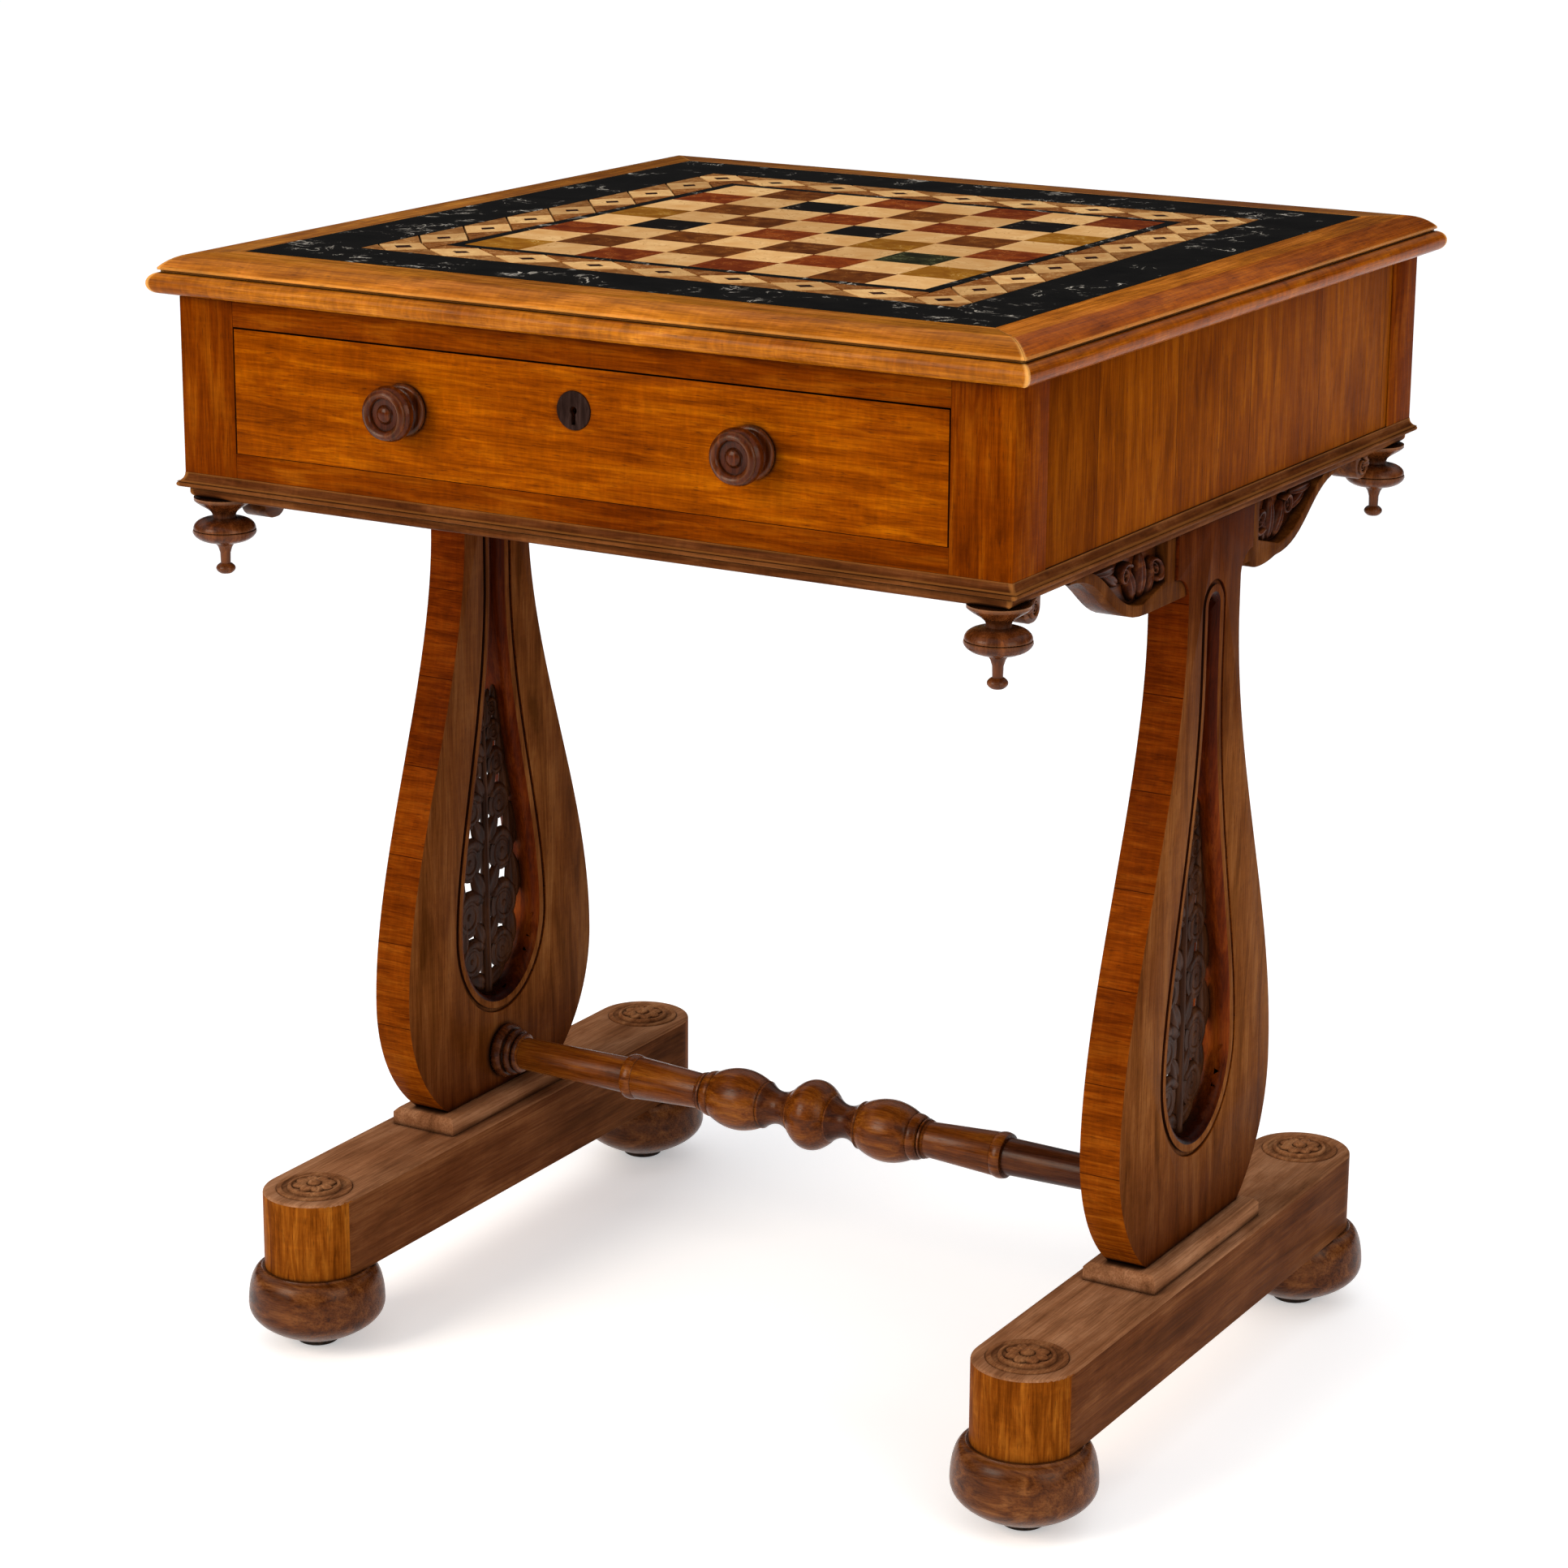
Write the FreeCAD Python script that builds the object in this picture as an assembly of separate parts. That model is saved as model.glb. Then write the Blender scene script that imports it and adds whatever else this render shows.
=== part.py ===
import FreeCAD, Part
import math
import os
from FreeCAD import Vector

# Games table with an inlaid marble board, a frieze drawer and a pair of lyre-shaped legs.
# Millimetres. +X runs to the right along the drawer front, +Y to the back, +Z up,
# and the origin is on the floor under the middle of the top.

# Heights, stacked from the floor up
glide_height = 4.0
foot_height = 51.0
bar_height = 54.0
plinth_height = 12.0
leg_belly_rise = 86.0
leg_taper = 318.0
leg_neck_length = 20.0
leg_cove = 15.0
leg_collar_height = 28.0
base_height = 17.0
bottom_rail_height = 15.5
drawer_opening = 78.0
top_rail_height = 17.5
ledge_thickness = 7.0
bed_thickness = 6.0
slab_thickness = 11.0

# Widths of the square top, from the middle of the board out to the edge
square_size = 40.5
squares_a_side = 8
stringing_width = 8.0
band_width = 38.0
border_width = 50.0
rim_flat = 20.0
thumb_run = 18.0
bead_projection = 5.25

# Sections of the top
thumb_drop = 8.0
lip_thickness = 1.5
quirk = 1.5
bead_width = 20.0
ledge_width = 20.0
inlay_thickness = 3.0
cement_joint = 0.3
band_joint = 1.4
band_cells = 7
eye_size = 15.0
slab_gap = 0.3

# Carcase
top_overhang = 14.4
post_size = 40.0
panel_setback = 0.8
panel_thickness = 22.0
tenon_length = 15.0
tenon_thickness = 8.0
panel_shoulder = 10.0
rail_shoulder = 3.0
runner_ledge = 24.0
guide_height = 12.0
stop_height = 6.0
stop_width = 40.0
stop_spacing = 300.0
glue_block = 16.0
glue_block_length = 60.0
glue_block_spacing = 130.0

# Moulding, pendants and scrolls under the carcase
base_width = 46.0
base_lip = 4.15
base_lip_thickness = 3.5
base_hollow = 5.5
base_step = 5.5
base_fillet = 3.5
base_return = 8.5
pendant_inset = 16.35
pendant_cap_radius = 18.5
pendant_cap_height = 10.0
pendant_neck_radius = 7.5
pendant_neck_length = 3.0
pendant_ball_radius = 21.0
pendant_ball_height = 17.0
pendant_stem_radius = 3.2
pendant_stem_length = 12.0
pendant_button_radius = 6.0
pendant_button_neck = 4.0
pendant_button_height = 6.0
pendant_spigot_radius = 5.0
pendant_spigot_bite = 12.0
scroll_length = 21.0
scroll_drop = 17.0
scroll_round = 9.0
scroll_clearance = 1.2

# Legs, with the teardrop opening, its lining and the pierced carving in it
leg_inset = 21.05
leg_thickness = 27.5
leg_foot_width = 136.0
leg_collar_width = 110.0
leg_belly_wall = 56.5
leg_neck_wall = 21.5
opening_rise = 67.0
opening_belly_width = 86.0
opening_belly_height = 52.0
opening_neck_width = 9.0
opening_neck_length = 43.5
opening_top_margin = 38.0
opening_belly_ratio = 0.27
opening_neck_ratio = 0.4
lining_width = 12.0
lining_groove = 3.0
lining_groove_depth = 2.0
carving_thickness = 9.0
carving_height = 215.0
carving_stem_width = 7.0
carving_scroll_width = 5.5
carving_overlap = 4.0
carving_tuck = 1.0
carving_least_hole = 2.2

# Carved brackets between the legs and the moulding
bracket_gap = 29.3
bracket_drop = 41.0
bracket_shoulder = 31.0
bracket_flat = 30.0
bracket_toe = 9.0
bracket_tip = 3.0
bracket_thickness = 22.0
bracket_setback = 2.0

# Base: plinths, bars, feet and stretcher
plinth_width = 50.0
plinth_margin = 11.0
plinth_bevel = 3.0
bar_width = 68.5
bar_length = 475.5
bar_round = 2.0
foot_radius = 45.5
foot_top_radius = 36.0
foot_toe_radius = 15.0
foot_toe_rise_ratio = 0.3
foot_toe_spread_ratio = 0.55
foot_belly_ratio = 0.55
foot_spigot_radius = 9.0
foot_spigot_length = 22.0
glide_radius = 14.0
glide_flat_radius = 9.0
glide_nail_radius = 2.0
glide_nail_length = 12.0
roundel_radius = 25.5
roundel_recess = 2.0
roundel_rim = 1.0
rosette_radius = 17.5
rosette_rise = 2.5
rosette_dome = 2.5
stretcher_rise = 26.0
stretcher_ball_radius = 24.0
stretcher_ball_half = 14.0
stretcher_edge_radius = 16.5
stretcher_neck_radius = 11.0
stretcher_neck_length = 24.0
stretcher_bulb_radius = 21.0
stretcher_bulb_length = 40.0
stretcher_cove_length = 11.0
stretcher_waist_radius = 12.0
stretcher_taper_length = 50.0
stretcher_taper_radius = 14.6
stretcher_ring_radius = 15.8
stretcher_ring_length = 8.0
stretcher_rod_radius = 12.4
stretcher_rod_end_radius = 11.2
stretcher_boss_radius = 17.5
stretcher_boss_length = 18.0
stretcher_tenon_radius = 9.0
stretcher_tenon_length = 14.0

# Drawer, knobs and lock
drawer_side_gap = 1.0
drawer_top_gap = 1.0
running_gap = 0.3
drawer_front_thickness = 20.0
drawer_front_lap = 6.0
drawer_side_thickness = 11.0
drawer_back_thickness = 10.0
drawer_back_drop = 6.0
drawer_back_space = 25.0
drawer_bottom_thickness = 6.0
drawer_bottom_rise = 8.0
groove_depth = 6.0
tail_width = 22.0
tail_flare = 3.0
front_tail_count = 2
knob_spacing = 240.0
knob_drop = 36.8
knob_collar_radius = 16.0
knob_collar_length = 4.0
knob_waist_radius = 10.5
knob_waist_length = 6.0
knob_head_radius = 16.7
knob_head_edge_radius = 14.1
knob_head_length = 12.0
knob_rim_length = 2.0
knob_dish_radius = 11.5
knob_dish_depth = 2.5
knob_button_radius = 5.0
knob_button_rise = 1.5
knob_spigot_radius = 5.0
knob_spigot_length = 15.0
escutcheon_radius = 11.5
escutcheon_thickness = 2.0
escutcheon_inset = 1.2
keyhole_drop = 25.2
keyhole_radius = 2.4
keyhole_slot_width = 2.6
keyhole_slot_length = 8.5
lock_width = 60.0
lock_height = 42.0
lock_thickness = 12.0
bolt_width = 24.0
bolt_height = 27.0
bolt_thickness = 5.0
bolt_throw = 8.0
bolt_gap = 0.3
bolt_mortise_gap = 1.0

# Fastenings and glue lines
joint_fit = 0.1
dowel_radius = 5.0
dowel_bite = 28.0
dowel_panel_bite = 14.0
dowel_end_gap = 0.6
leg_top_dowel_edge = 25.0
leg_foot_dowel_edge = 33.0
screw_radius = 2.2
screw_head_radius = 4.4
screw_cover = 1.5
screw_edge = 8.0
screw_spacing = 175.0
lock_screw_radius = 1.4
lock_screw_head_radius = 2.8
lock_screw_bite = 5.0
lock_screw_edge = 5.0

# Squares of coloured stone, by chess coordinates; the other dark squares are rust-coloured marble
stone_squares = {
    "black_squares": "b4 e5 c7 g7",
    "green_squares": "g3",
    "ochre_squares": "a1 h2 f4 a5 h6",
    "brown_squares": "g1 b2 d2 c3 e3 c5 g5 b6 e7 b8",
}

# Levels
z_bar = glide_height + foot_height
z_plinth = z_bar + bar_height
z_leg = z_plinth + plinth_height
leg_height = leg_belly_rise + leg_taper + leg_neck_length + leg_cove + leg_collar_height
z_base = z_leg + leg_height
z_carcase = z_base + base_height
z_opening = z_carcase + bottom_rail_height
z_top_rail = z_opening + drawer_opening
z_rim = z_top_rail + top_rail_height
z_ledge = z_rim + ledge_thickness
z_slab = z_ledge + bed_thickness
z_top = z_slab + slab_thickness
z_inlay = z_top - inlay_thickness

# Distances from the middle
half_board = squares_a_side * square_size / 2
half_string = half_board + stringing_width
half_band = half_string + band_width
half_slab = half_band + border_width
half_flat = half_slab + rim_flat
half_lip = half_flat + thumb_run
half_top = half_lip + bead_projection
half_carcase = half_top - top_overhang
half_opening = half_carcase - post_size
panel_out = half_carcase - panel_setback
panel_in = panel_out - panel_thickness
panel_middle = (panel_out + panel_in) / 2
pendant_axis = half_carcase - pendant_inset
leg_x = half_carcase - leg_inset
leg_inner = leg_x - leg_thickness / 2
leg_outer = leg_x + leg_thickness / 2
bar_end_y = (bar_length - bar_width) / 2
scroll_outer = pendant_axis - max(pendant_cap_radius, pendant_ball_radius) - scroll_clearance
scroll_inner = scroll_outer - scroll_length
bracket_outer = scroll_inner - bracket_gap
bracket_x1 = leg_outer - bracket_setback
bracket_x0 = bracket_x1 - bracket_thickness
top_dowel_x = (panel_in + leg_outer) / 2
leg_collar_half = leg_collar_width / 2
leg_foot_half = leg_foot_width / 2
leg_belly_half = opening_belly_width / 2 + lining_width + leg_belly_wall
leg_neck_half = opening_neck_width / 2 + lining_width + leg_neck_wall
opening_belly_rise = opening_rise + opening_belly_height
opening_top_rise = leg_height - opening_top_margin - lining_width
opening_neck_top = opening_top_rise - opening_neck_width / 2
opening_neck_rise = opening_neck_top - opening_neck_length

# The drawer's box
drawer_half = half_opening - drawer_side_gap
drawer_bottom_z = z_opening + running_gap
drawer_top_z = z_top_rail - drawer_top_gap
drawer_y0 = -half_carcase
drawer_y1 = drawer_y0 + drawer_front_thickness
drawer_y3 = panel_in - drawer_back_space
drawer_y2 = drawer_y3 - drawer_back_thickness
drawer_inside = drawer_half - drawer_side_thickness
bottom_z0 = drawer_bottom_z + drawer_bottom_rise
bottom_z1 = bottom_z0 + drawer_bottom_thickness
keyhole_z = drawer_top_z - keyhole_drop
knob_z = drawer_top_z - knob_drop
lock_y0 = drawer_y1 - lock_thickness
lock_z0 = drawer_top_z - lock_height

# Share of the corner at which a curve's handles make it follow a quarter of an ellipse
round_ratio = 0.5523

# Two points or levels closer than this are the same
same_place = 1e-6

corners = [(-1, -1), (1, -1), (-1, 1), (1, 1)]
corner_names = {(-1, -1): "front_left", (1, -1): "front_right", (-1, 1): "back_left", (1, 1): "back_right"}


def box(x0, x1, y0, y1, z0, z1, grow=0.0):
    """A block between two limits on each axis, grown by a fit on every side."""
    size = [x1 - x0 + 2 * grow, y1 - y0 + 2 * grow, z1 - z0 + 2 * grow]
    return Part.makeBox(*size, Vector(x0 - grow, y0 - grow, z0 - grow))


def peg(x, y, z0, z1, radius):
    """An upright round peg or hole."""
    return Part.makeCylinder(radius, z1 - z0, Vector(x, y, z0))


def mirror_x(shape):
    return shape.mirror(Vector(0, 0, 0), Vector(1, 0, 0))


def mirror_y(shape):
    return shape.mirror(Vector(0, 0, 0), Vector(0, 1, 0))


def turn_z(shape, degrees):
    return shape.rotated(Vector(0, 0, 0), Vector(0, 0, 1), degrees)


def join(*shapes):
    """Shapes that are cut from one piece of wood or metal."""
    return shapes[0].multiFuse(list(shapes[1:])).removeSplitter()


def four_corners(shape):
    """Copies of a piece from the back right corner in all four corners."""
    right = [shape, mirror_y(shape)]
    return right + [mirror_x(piece) for piece in right]


def both_sides(shape):
    """A piece on the right and its mirror image on the left."""
    return [shape, mirror_x(shape)]


def arc_middle(tangent_point, other_point, direction):
    """Middle of the circular arc that leaves one point along a direction and reaches another."""
    chord = (other_point[0] - tangent_point[0], other_point[1] - tangent_point[1])
    length = math.hypot(*chord)
    cross = chord[0] * direction[1] - chord[1] * direction[0]
    along = chord[0] * direction[0] + chord[1] * direction[1]
    bow = length / 2 * math.tan(math.atan2(cross, along) / 2)
    middle_u = (tangent_point[0] + other_point[0]) / 2 - chord[1] / length * bow
    middle_v = (tangent_point[1] + other_point[1]) / 2 + chord[0] / length * bow
    return middle_u, middle_v


class Outline:
    """A closed flat outline, drawn point by point from lines, arcs and smooth curves."""

    def __init__(self, u, v):
        self.start = (u, v)
        self.at = (u, v)
        self.runs = []

    def add(self, kind, points):
        self.runs.append((kind, [self.at] + points))
        self.at = points[-1]
        return self

    def line(self, u, v):
        return self.add("line", [(u, v)])

    def arc(self, middle, end):
        return self.add("arc", [middle, end])

    def curve(self, *poles):
        return self.add("curve", list(poles))

    def round_to(self, corner, end):
        """A quarter of an ellipse that turns within a corner point."""
        near = [a + (c - a) * round_ratio for a, c in zip(self.at, corner)]
        far = [e + (c - e) * round_ratio for e, c in zip(end, corner)]
        return self.curve(tuple(near), tuple(far), end)

    def swell(self, u, v, middle):
        """A bulge or a cove along u that reaches a given v half way."""
        u0, v0 = self.at
        handle = (8 * middle - v0 - v) / 6
        quarter = (u - u0) / 4
        return self.curve((u0 + quarter, handle), (u - quarter, handle), (u, v))

    def mirrored(self):
        """Close the outline with its own mirror image across the line u = 0."""
        for kind, points in reversed(list(self.runs)):
            self.add(kind, [(-u, v) for u, v in reversed(points)][1:])
        return self

    def face(self, place):
        if math.dist(self.at, self.start) > same_place:
            self.line(*self.start)
        edges = []
        for kind, points in self.runs:
            places = [place(u, v) for u, v in points]
            if kind == "line":
                edges.append(Part.makeLine(*places))
            elif kind == "arc":
                edges.append(Part.Arc(*places).toShape())
            else:
                bend = Part.BezierCurve()
                bend.setPoles(places)
                edges.append(bend.toShape())
        return Part.Face(Part.Wire(edges))


def turned(outline):
    """A turned piece about the upright axis, drawn as height and radius."""
    face = outline.face(lambda height, radius: Vector(radius, 0, height))
    return face.revolve(Vector(0, 0, 0), Vector(0, 0, 1), 360)


def plate(outline, x0, x1):
    """A flat piece drawn as y and z, between two faces across x."""
    return outline.face(lambda y, z: Vector(x0, y, z)).extrude(Vector(x1 - x0, 0, 0))


def mitred_frame(outline):
    """Four mitred lengths of one section, drawn as distance from the middle and z."""
    reach = 2 * half_top
    run = outline.face(lambda u, z: Vector(-reach, -u, z)).extrude(Vector(2 * reach, 0, 0))
    triangle = [Vector(0, 0, 0), Vector(-reach, -reach, 0), Vector(reach, -reach, 0), Vector(0, 0, 0)]
    wedge = Part.Face(Part.makePolygon(triangle)).extrude(Vector(0, 0, z_top + reach))
    front = run.common(wedge)
    return {side: turn_z(front, 90 * turn) for turn, side in enumerate(["front", "right", "back", "left"])}


def tile(points, joint=cement_joint):
    """One stone of the inlay, a cement joint clear of its neighbours."""
    loop = Part.makePolygon([Vector(x, y, z_inlay) for x, y in points + points[:1]])
    face = Part.Face(loop).makeOffset2D(-joint / 2, 2)
    return face.extrude(Vector(0, 0, inlay_thickness))


def board_squares():
    """The playing squares, sorted by their stone."""
    stones = {"light_squares": [], "rust_squares": []}
    for column in range(squares_a_side):
        for row in range(squares_a_side):
            x0 = column * square_size - half_board
            y0 = row * square_size - half_board
            x1 = x0 + square_size
            y1 = y0 + square_size
            square = tile([(x0, y0), (x1, y0), (x1, y1), (x0, y1)])
            label = "abcdefgh"[column % 8] + str(row + 1)
            named = [stone for stone, labels in stone_squares.items() if label in labels.split()]
            dark = named[0] if named else "rust_squares"
            stone = dark if (column + row) % 2 == 0 else "light_squares"
            stones.setdefault(stone, []).append(square)
    return stones


def stringing():
    """The dark line round the playing squares, in four mitred strips."""
    a, b = half_board, half_string
    strip = tile([(-b, -b), (b, -b), (a, -a), (-a, -a)])
    return [turn_z(strip, 90 * turn) for turn in range(4)]


def lozenge_cell(x0, x1, y0, y1):
    """A lozenge with an eye of another stone in it."""
    middle_x = (x0 + x1) / 2
    middle_y = (y0 + y1) / 2
    eye_x = eye_size / 2
    eye_y = eye_x * (y1 - y0) / (x1 - x0)
    eye_loop = [(middle_x - eye_x, middle_y), (middle_x, middle_y - eye_y), (middle_x + eye_x, middle_y),
                (middle_x, middle_y + eye_y)]
    eye = tile(eye_loop, band_joint)
    hole = eye.makeOffsetShape(cement_joint, same_place, join=2)
    lozenge = tile([(x0, middle_y), (middle_x, y0), (x1, middle_y), (middle_x, y1)], band_joint)
    return lozenge.cut(hole), eye


def specimen_band():
    """The band of lozenges round the board: one side and one corner, turned round the middle."""
    cell = 2 * half_string / band_cells
    outer, inner = -half_band, -half_string
    middle_y = (outer + inner) / 2
    lozenges, eyes, outer_triangles, inner_triangles = [], [], [], []
    for count in range(band_cells):
        x = count * cell - half_string
        lozenge, eye = lozenge_cell(x, x + cell, outer, inner)
        lozenges.append(lozenge)
        eyes.append(eye)
    for count in range(band_cells + 1):
        x = count * cell - half_string
        left = max(x - cell / 2, -half_string)
        right = min(x + cell / 2, half_string)
        outer_triangles.append(tile([(left, outer), (right, outer), (x, middle_y)], band_joint))
        inner_triangles.append(tile([(left, inner), (x, middle_y), (right, inner)], band_joint))
    lozenge, eye = lozenge_cell(outer, inner, outer, inner)
    lozenges.append(lozenge)
    eyes.append(eye)
    outer_triangles.append(tile([(outer, outer), (middle_y, outer), (outer, middle_y)], band_joint))
    outer_triangles.append(tile([(middle_y, outer), (inner, outer), (inner, middle_y)], band_joint))
    outer_triangles.append(tile([(outer, middle_y), (middle_y, inner), (outer, inner)], band_joint))
    inner_triangles.append(tile([(inner, inner), (middle_y, inner), (inner, middle_y)], band_joint))
    groups = {"band_lozenges": lozenges, "band_eyes": eyes,
              "band_outer_triangles": outer_triangles, "band_inner_triangles": inner_triangles}
    return {name: [turn_z(stone, 90 * turn) for turn in range(4) for stone in group]
            for name, group in groups.items()}


def marble_slab():
    """Black marble slab, sunk to take the inlay, with its own surface as the border."""
    edge = half_slab - slab_gap
    slab = box(-edge, edge, -edge, edge, z_slab, z_top)
    return slab.cut(box(-half_band, half_band, -half_band, half_band, z_inlay, z_top))


def bed_board():
    edge = half_slab - slab_gap
    return box(-edge, edge, -edge, edge, z_ledge, z_slab)


def rim_rails():
    """Mitred rails of the top: a ledge for the bed, a flat, a thumb mould and a rebate for the bead."""
    bead_top = z_top - thumb_drop - lip_thickness - quirk
    bead_back = half_top - bead_width
    thumb = arc_middle((half_flat, z_top), (half_lip, z_top - thumb_drop), (1, 0))
    rail = Outline(half_slab - ledge_width, z_rim)
    rail.line(bead_back, z_rim)
    rail.line(bead_back, bead_top)
    rail.line(half_lip - quirk, bead_top)
    rail.line(half_lip - quirk, bead_top + quirk)
    rail.line(half_lip, bead_top + quirk)
    rail.line(half_lip, z_top - thumb_drop)
    rail.arc(thumb, (half_flat, z_top))
    rail.line(half_slab, z_top)
    rail.line(half_slab, z_ledge)
    rail.line(half_slab - ledge_width, z_ledge)
    return mitred_frame(rail)


def rim_beads():
    """Half-round bead under the thumb mould, mitred at the corners."""
    bead_top = z_top - thumb_drop - lip_thickness - quirk
    radius = (bead_top - z_rim) / 2
    bead = Outline(half_top - bead_width, z_rim)
    bead.line(half_top - radius, z_rim)
    bead.arc((half_top, z_rim + radius), (half_top - radius, bead_top))
    bead.line(half_top - bead_width, bead_top)
    return list(mitred_frame(bead).values())


def panel_tenon(grow=0.0):
    """Tongue on the back end of the right side panel; grown by the fit, its mortise in the post."""
    half = tenon_thickness / 2
    return box(panel_middle - half, panel_middle + half, half_opening, half_opening + tenon_length,
               z_carcase + panel_shoulder, z_rim - panel_shoulder, grow)


def side_panel():
    """Right side of the carcase, tongued into the posts at both ends."""
    board = box(panel_in, panel_out, -half_opening, half_opening, z_carcase, z_rim)
    return join(board, panel_tenon(), mirror_y(panel_tenon()))


def rail_tenon(z0, z1, grow=0.0):
    """Tongue on the right end of a front rail; grown by the fit, its mortise in the post."""
    middle = -half_carcase + post_size / 2
    half = tenon_thickness / 2
    return box(half_opening, half_opening + tenon_length, middle - half, middle + half,
               z0 + rail_shoulder, z1 - rail_shoulder, grow)


def front_rail(z0, z1):
    board = box(-half_opening, half_opening, -half_carcase, -half_opening, z0, z1)
    return join(board, rail_tenon(z0, z1), mirror_x(rail_tenon(z0, z1)))


def pendant_hole():
    """Hole for the spigot of the back right pendant, up through the moulding into the post."""
    top = z_carcase + pendant_spigot_bite + dowel_end_gap
    return peg(pendant_axis, pendant_axis, z_base, top, pendant_spigot_radius + joint_fit)


def back_right_post():
    post = box(half_opening, half_carcase, half_opening, half_carcase, z_carcase, z_rim)
    back_tenon = turn_z(mirror_y(panel_tenon(joint_fit)), 90)
    return post.cut([panel_tenon(joint_fit), back_tenon, pendant_hole()])


def front_right_post():
    post = box(half_opening, half_carcase, -half_carcase, -half_opening, z_carcase, z_rim)
    mortises = [mirror_y(panel_tenon(joint_fit)), mirror_y(pendant_hole()),
                rail_tenon(z_carcase, z_opening, joint_fit), rail_tenon(z_top_rail, z_rim, joint_fit)]
    return post.cut(mortises)


def bolt_mortise():
    """Slot in the top rail that the lock's bolt shoots into."""
    half_width = bolt_width / 2 + bolt_mortise_gap
    half_depth = bolt_thickness / 2 + bolt_mortise_gap
    middle = lock_y0 + lock_thickness / 2
    top = drawer_top_z + bolt_throw + bolt_mortise_gap
    return box(-half_width, half_width, middle - half_depth, middle + half_depth, z_top_rail, top)


def drawer_runner():
    """Right runner under the drawer's side, with the guide that keeps the drawer square."""
    bearing = box(half_opening - runner_ledge, panel_in, -half_opening, half_opening, z_carcase, z_opening)
    guide = box(half_opening, panel_in, -half_opening, half_opening, z_opening, z_opening + guide_height)
    return join(bearing, guide)


def top_screw(y, fit=0.0):
    """Countersunk screw up through the right kicker into the rim's ledge; with a fit, the hole for it."""
    x = panel_in - screw_edge
    shank = peg(x, y, z_top_rail, z_ledge - screw_cover + fit, screw_radius + fit)
    head_height = screw_head_radius - screw_radius
    head = Part.makeCone(screw_head_radius + fit, screw_radius + fit, head_height, Vector(x, y, z_top_rail))
    return join(shank, head)


def drawer_kicker():
    """Right strip above the drawer's side, which keeps the open drawer from tipping."""
    strip = box(half_opening - runner_ledge, panel_in, -half_opening, half_opening, z_top_rail, z_rim)
    return strip.cut([top_screw(row * screw_spacing, joint_fit) for row in (-1, 0, 1)])


def drawer_stops():
    half = stop_width / 2
    right = box(stop_spacing / 2 - half, stop_spacing / 2 + half, drawer_y1 + running_gap, -half_opening,
                z_opening, z_opening + stop_height)
    return both_sides(right)


def glue_blocks():
    """Triangular blocks glued in the angle between the back and the top."""
    angle = Outline(panel_in, z_rim).line(panel_in - glue_block, z_rim).line(panel_in, z_rim - glue_block)
    block = plate(angle, -glue_block_length / 2, glue_block_length / 2)
    return [block.translated(Vector(place * glue_block_spacing, 0, 0)) for place in (-1, 0, 1)]


def base_mouldings():
    """Mitred moulding under the carcase: a hollow, a lip, a fillet and a rounded return."""
    lip = half_carcase + base_lip
    lip_top = z_carcase - base_hollow
    lip_bottom = lip_top - base_lip_thickness
    neck = lip - base_step
    fillet_bottom = lip_bottom - base_fillet
    section = Outline(lip - base_width, z_carcase)
    section.line(lip - base_width, z_base)
    section.line(neck - base_return, z_base)
    section.round_to((neck, z_base), (neck, fillet_bottom))
    section.line(neck, lip_bottom)
    section.line(lip, lip_bottom)
    section.line(lip, lip_top)
    section.round_to((half_carcase, lip_top), (half_carcase, z_carcase))
    frame = mitred_frame(section)
    holes = four_corners(pendant_hole()) + leg_top_dowels(joint_fit)
    return [length.cut(holes) for length in frame.values()]


def pendant():
    """Turned drop under the back right corner, with the spigot that holds it."""
    cap = pendant_cap_height
    ball = cap + pendant_neck_length
    stem = ball + pendant_ball_height
    button = stem + pendant_stem_length
    end = button + pendant_button_height
    neck_middle = (pendant_cap_radius + pendant_neck_radius) / 2
    drop = Outline(-base_height - pendant_spigot_bite, 0)
    drop.line(-base_height - pendant_spigot_bite, pendant_spigot_radius)
    drop.line(0, pendant_spigot_radius)
    drop.line(0, pendant_cap_radius)
    drop.curve((cap / 2, pendant_cap_radius), (cap / 3, neck_middle), (cap, pendant_neck_radius))
    drop.line(ball, pendant_neck_radius)
    drop.swell(stem, pendant_neck_radius, pendant_ball_radius)
    drop.curve((stem + pendant_stem_length / 4, pendant_stem_radius),
               (stem + pendant_stem_length / 2, pendant_stem_radius), (button, pendant_stem_radius))
    drop.line(button, pendant_button_neck)
    drop.swell(end, pendant_button_neck, pendant_button_radius)
    drop.line(end, 0)
    hung = turned(drop).rotated(Vector(0, 0, 0), Vector(1, 0, 0), 180)
    return hung.translated(Vector(pendant_axis, pendant_axis, z_base))


def corner_scroll():
    """Small scroll beside the back right pendant, rounded at its lower corners."""
    low = z_base - scroll_drop
    scroll = Outline(scroll_inner, z_base)
    scroll.line(scroll_inner, low + scroll_round)
    scroll.round_to((scroll_inner, low), (scroll_inner + scroll_round, low))
    scroll.line(scroll_outer - scroll_round, low)
    scroll.round_to((scroll_outer, low), (scroll_outer, low + scroll_round))
    scroll.line(scroll_outer, z_base)
    return plate(scroll, bracket_x0, bracket_x1)


def bracket():
    """Carved bracket behind the right leg, from the leg's collar to its tip under the moulding."""
    low = z_base - bracket_drop
    toe = leg_collar_half + bracket_toe
    heel = toe + bracket_flat
    bend = (heel + bracket_outer) / 2
    tip_z = z_base - bracket_tip
    shape = Outline(leg_collar_half, z_base)
    shape.line(leg_collar_half, z_base - bracket_shoulder)
    shape.round_to((leg_collar_half, low), (toe, low))
    shape.line(heel, low)
    shape.curve((bend, low), (bend, tip_z), (bracket_outer, tip_z))
    shape.line(bracket_outer, z_base)
    return plate(shape, bracket_x0, bracket_x1)


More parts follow.
